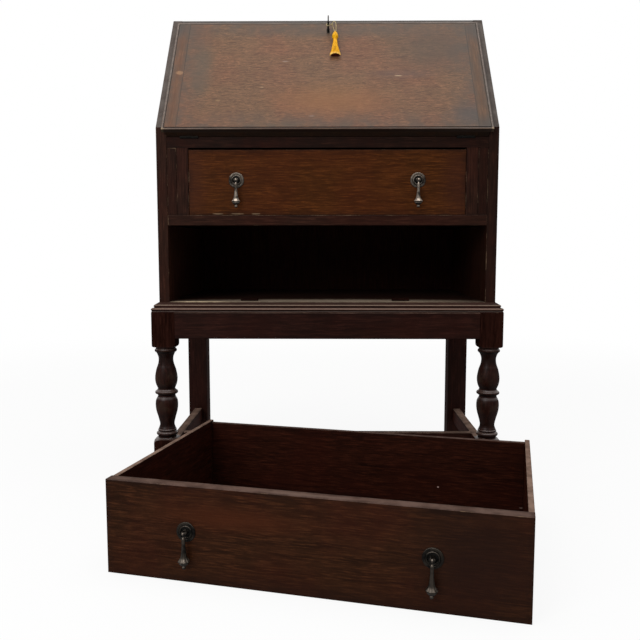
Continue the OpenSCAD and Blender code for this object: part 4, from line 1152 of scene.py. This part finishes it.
class BUREAU_OT_tassel(bpy.types.Operator):
    """Make the key's silk tassel, its cord, the knot and the turn round the key"""

    bl_idname = "bureau.tassel"
    bl_label = "Tassel"

    def execute(self, context):
        making = context.scene.bureau_tassel
        spun = thread("Tassel cord", making.cord, shaded(making.cord, 1.35),
                      shaded(making.cord, 0.45), 0.0005, AT_KEY)
        self.cord(making, spun)
        self.turns(spun)
        silk = thread("Tassel silk", making.silk, making.silk_light, shaded(making.silk, 0.4),
                      0.0007, TASSEL, roughness=0.5,
                      ends=(0.008 - HEAD_L - SKIRT_L, making.silk_end))
        # The core's dark silk paints the shade between the skirt and the slope
        hollow = thread("Tassel core", making.hollow, shaded(making.hollow, 1.6),
                        shaded(making.hollow, 0.4), 0.0006, TASSEL)
        self.head(silk)
        self.skirt(making, silk, hollow)
        self.core(hollow)
        return {"FINISHED"}

    @staticmethod
    def cord(making, spun):
        """The free cord, from the tassel through the knot and back."""
        route = [AT_KEY @ p for p in smooth_route(CORD_ROUTE, 8)]
        mesh = bmesh.new()
        twisted(mesh, route, CORD_D, making.twist)
        cord = new_piece("tassel_cord_twisted", mesh, spun, "tassel", "cord", smooth=60)
        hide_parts("tassel_cord")
        run = sum((b - a).length for a, b in zip(route, route[1:]))
        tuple(route[0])

    @staticmethod
    def turns(spun):
        """The knot's wraps, and the turn of cord round the key's shank."""
        at_loop = AT_KEY @ Matrix.Translation((0, 0, LOOP_OUT))
        half = 0.0013
        knot = bmesh.new()
        wraps = winding(at_loop, KNOT_R, 3, 14, KNOT_ACROSS - half, KNOT_ACROSS + half, "X")
        tube(knot, wraps, radius=0.00072, sides=7)
        new_piece("tassel_knot", knot, spun, "tassel", "cord", smooth=60)
        loop = bmesh.new()
        twisted(loop, winding(at_loop, LOOP_R, 1, 72), CORD_D, 2 * math.pi * LOOP_R / 6)
        stand_in("cord_loop", "twisted", loop, spun, "cord", smooth=60)

    @staticmethod
    def head(silk):
        """The head, and the wraps of thread round its neck."""
        outline = smooth_route([
            (0.0014, 0, 0), (0.0036, -HEAD_L * 0.2, 0), (0.0058, -HEAD_L * 0.45, 0),
            (HEAD_R * 0.97, -HEAD_L * 0.7, 0), (0.0062, -HEAD_L * 0.86, 0),
            (NECK_R, -HEAD_L + 0.0006, 0)], 5)
        head = bmesh.new()
        lathe(head, [(0.0004, 0.0004)] + [(p.x, p.y) for p in outline], 96,
              lambda angle, height: 1 + 0.02 * math.cos(24 * angle + height * 900), TASSEL)
        neck = winding(TASSEL, NECK_R, 4, 16, 0.001 - HEAD_L, 0.001 - HEAD_L - 4 * 0.0008)
        tube(head, neck, radius=0.0005, sides=6)
        new_piece("tassel_head", head, silk, "tassel", "silk", smooth=50)

    def skirt(self, making, silk, hollow):
        """Three layers of threads; those against the slope are in shade."""
        rand = random.Random(7)
        steps = 10
        tucked = 0.0005
        skirt, under = bmesh.new(), bmesh.new()
        for k in range(making.threads):
            turn = 2 * math.pi * (k + rand.uniform(-0.3, 0.3)) / making.threads
            flare = (1.0, 0.9, 0.8)[k % 3] * rand.uniform(0.95, 1.0)
            drift = rand.uniform(-0.12, 0.12)
            end = SKIRT_L * rand.uniform(0.975, 1.0) * (0.965 + 0.035 * abs(math.cos(turn)))
            line = []
            for i in range(steps + 1):
                t = i / steps
                r = SKIRT_TOP_R + (self.skirt_r(t) - SKIRT_TOP_R) * flare
                angle = turn + drift * t + 0.05 * math.sin(5 * t + k)
                line.append(TASSEL @ Vector((
                    r * math.cos(angle), self.settled(r * math.sin(angle), t),
                    tucked - HEAD_L - end * t)))
            # Threads against the slope are made of the core's dark silk: painted shade
            tube(under if math.sin(turn) > 0.2 else skirt, line,
                 radius=lambda t: 0.00042 + 0.00022 * t, sides=5)
        new_piece("tassel_skirt", skirt, silk, "tassel", "silk", smooth=60)
        new_piece("tassel_skirt_under", under, hollow, "tassel", "silk", smooth=60)

    def core(self, hollow):
        """The dark core inside the skirt, open at the hem; its dark silk paints the shade under the
        skirt.
        """
        core = bmesh.new()
        lathe(core, [
            (0.0030, -HEAD_L), (SKIRT_TOP_R, -HEAD_L - 0.012), (0.0052, -HEAD_L - 0.028),
            (0.0084, -HEAD_L - SKIRT_L + 0.004), (0.0005, -HEAD_L - SKIRT_L + 0.006)], 40,
            lambda angle, height: 1 + 0.05 * math.cos(20 * angle))
        for v in core.verts:
            t = min(1, max(0, (-HEAD_L - v.co.z) / SKIRT_L))
            v.co = TASSEL @ Vector((v.co.x, self.settled(v.co.y, t), v.co.z))
        stand_in("tassel", "core", core, hollow, "silk", smooth=50)

    @staticmethod
    def skirt_r(t):
        """The skirt's radius at a share of its length."""
        room = HEM_R - THREAD_ROOM - SKIRT_TOP_R
        return SKIRT_TOP_R + room * (0.35 * t + 0.65 * t ** 2.2)

    @classmethod
    def settled(cls, y, t):
        """The skirt lies on the slope and flattens towards its hem; y is towards the slope."""
        flat = 1 - 0.62 * t ** 0.8
        return y * flat + cls.skirt_r(t) * (1 - flat)


# The stage

def area_lamp(name, at, aim, size, power):
    data = bpy.data.lights.new(name, "AREA")
    data.shape = "RECTANGLE"
    data.size, data.size_y = size
    data.energy = power
    lamp = bpy.data.objects.new(name, data)
    bpy.context.scene.collection.objects.link(lamp)
    lamp.location = at
    lamp.rotation_euler = (Vector(aim) - Vector(at)).to_track_quat("-Z", "Y").to_euler()


def seen(tree):
    """1 for rays from the camera, a reflection or glass, which see the background white."""
    camera, glossy, through = (
        put(tree, "LightPath", output=f"Is {kind} Ray")
        for kind in ("Camera", "Glossy", "Transmission"))
    return most(camera, most(glossy, through))


class BUREAU_OT_studio(bpy.types.Operator):
    """Set up the floor, background, lamps and camera"""

    bl_idname = "bureau.studio"
    bl_label = "Studio"

    def execute(self, context):
        scene = context.scene
        studio = scene.bureau_studio
        self.floor(scene, studio)
        self.surroundings(scene, studio)
        area_lamp("Overhead lamp", at=(0.1, -0.5, 2.9), aim=(0, -0.15, 0.7), size=(2.6, 2.0),
                  power=studio.overhead)
        area_lamp("Front lamp", at=(-1.9, -2.9, 1.9), aim=(0, -0.3, 0.5), size=(1.8, 1.6),
                  power=studio.front)
        view = bpy.data.cameras.new("Camera")
        view.lens = LENS
        view.sensor_width = SENSOR
        camera = bpy.data.objects.new("Camera", view)
        scene.collection.objects.link(camera)
        camera.location = CAMERA_AT
        camera.rotation_euler = (CAMERA_TILT, 0, CAMERA_TURN)
        scene.camera = camera
        scene.view_settings.view_transform = "Standard"
        return {"FINISHED"}

    def floor(self, scene, studio):
        mesh = bmesh.new()
        bmesh.ops.create_grid(mesh, x_segments=24, y_segments=24, size=studio.floor_size / 2)
        data = bpy.data.meshes.new("floor")
        mesh.to_mesh(data)
        mesh.free()
        floor = bpy.data.objects.new("floor", data)
        scene.collection.objects.link(floor)
        below_feet = 0.0005
        floor.location.z = -below_feet
        data.materials.append(self.floor_material(studio))

    @staticmethod
    def surroundings(scene, studio):
        """Even light from all round, and a white background."""
        scene.world = bpy.data.worlds.new("Surroundings")
        tree = cleared(scene.world)
        light = put(tree, "Background", {"Color": WHITE, "Strength": studio.daylight})
        white = put(tree, "Background", {"Color": WHITE, "Strength": 1.0})
        shown = put(tree, "MixShader", {0: seen(tree), 1: light, 2: white})
        feed(tree.nodes.new("ShaderNodeOutputWorld").inputs, {0: shown})

    @staticmethod
    def floor_material(studio):
        """Matt paper that keeps the bureau's shadow, and glows white further off."""
        material = bpy.data.materials.new("Studio floor")
        tree = cleared(material)
        spot = put(tree, "TexCoord", output="Object")
        paper = mixed(ranged(clouds(spot, 3), 0.3, 0.7, 0, 0.04), studio.floor_tone, WHITE)
        matt = put(tree, "BsdfDiffuse", {"Color": paper})
        glow = put(tree, "Emission", {"Strength": 1.0})
        share = seen(tree) * ranged(length(spot), 0.9, 3.0, 0.9, 1.0)
        lifted = put(tree, "MixShader", {0: share, 1: matt, 2: glow})
        feed(tree.nodes.new("ShaderNodeOutputMaterial").inputs, {0: lifted})
        return material


class BUREAU_PT_panel(bpy.types.Panel):
    """The bureau's pieces and finishes"""

    bl_idname = "BUREAU_PT_panel"
    bl_label = "Writing Bureau"
    bl_space_type = "VIEW_3D"
    bl_region_type = "UI"
    bl_category = "Bureau"

    def draw(self, context):
        for operator in OPERATORS:
            self.layout.operator(operator.bl_idname)
        for name, (_, title) in FINISHES.items():
            box = self.layout.box()
            box.label(text=title)
            settings = getattr(context.scene, name)
            for prop in settings.bl_rna.properties:
                if prop.identifier not in ("rna_type", "name"):
                    box.prop(settings, prop.identifier)


OPERATORS = (
    BUREAU_OT_studio, BUREAU_OT_tassel, BUREAU_OT_case, BUREAU_OT_stand, BUREAU_OT_fall_front,
    BUREAU_OT_lopers, BUREAU_OT_upper_drawer, BUREAU_OT_lower_drawer, BUREAU_OT_nest,
    BUREAU_OT_pulls, BUREAU_OT_lock)
FINISHES = {
    "bureau_oak": (OakFinish, "Oak"), "bureau_bronze": (BronzeFinish, "Bronze and iron"),
    "bureau_tassel": (TasselMaking, "Tassel"), "bureau_studio": (Studio, "Studio")}


def register():
    for name, (settings, _) in FINISHES.items():
        bpy.utils.register_class(settings)
        setattr(bpy.types.Scene, name, bpy.props.PointerProperty(type=settings))
    for operator in OPERATORS:
        bpy.utils.register_class(operator)
    bpy.utils.register_class(BUREAU_PT_panel)


def unregister():
    bpy.utils.unregister_class(BUREAU_PT_panel)
    for operator in reversed(OPERATORS):
        bpy.utils.unregister_class(operator)
    for name, (settings, _) in reversed(FINISHES.items()):
        delattr(bpy.types.Scene, name)
        bpy.utils.unregister_class(settings)


def main():
    register()
    for make in EFFECTS:
        make()
    for operator in OPERATORS:
        family, action = operator.bl_idname.split(".")
        getattr(getattr(bpy.ops, family), action)()


if __name__ == "__main__":
    main()
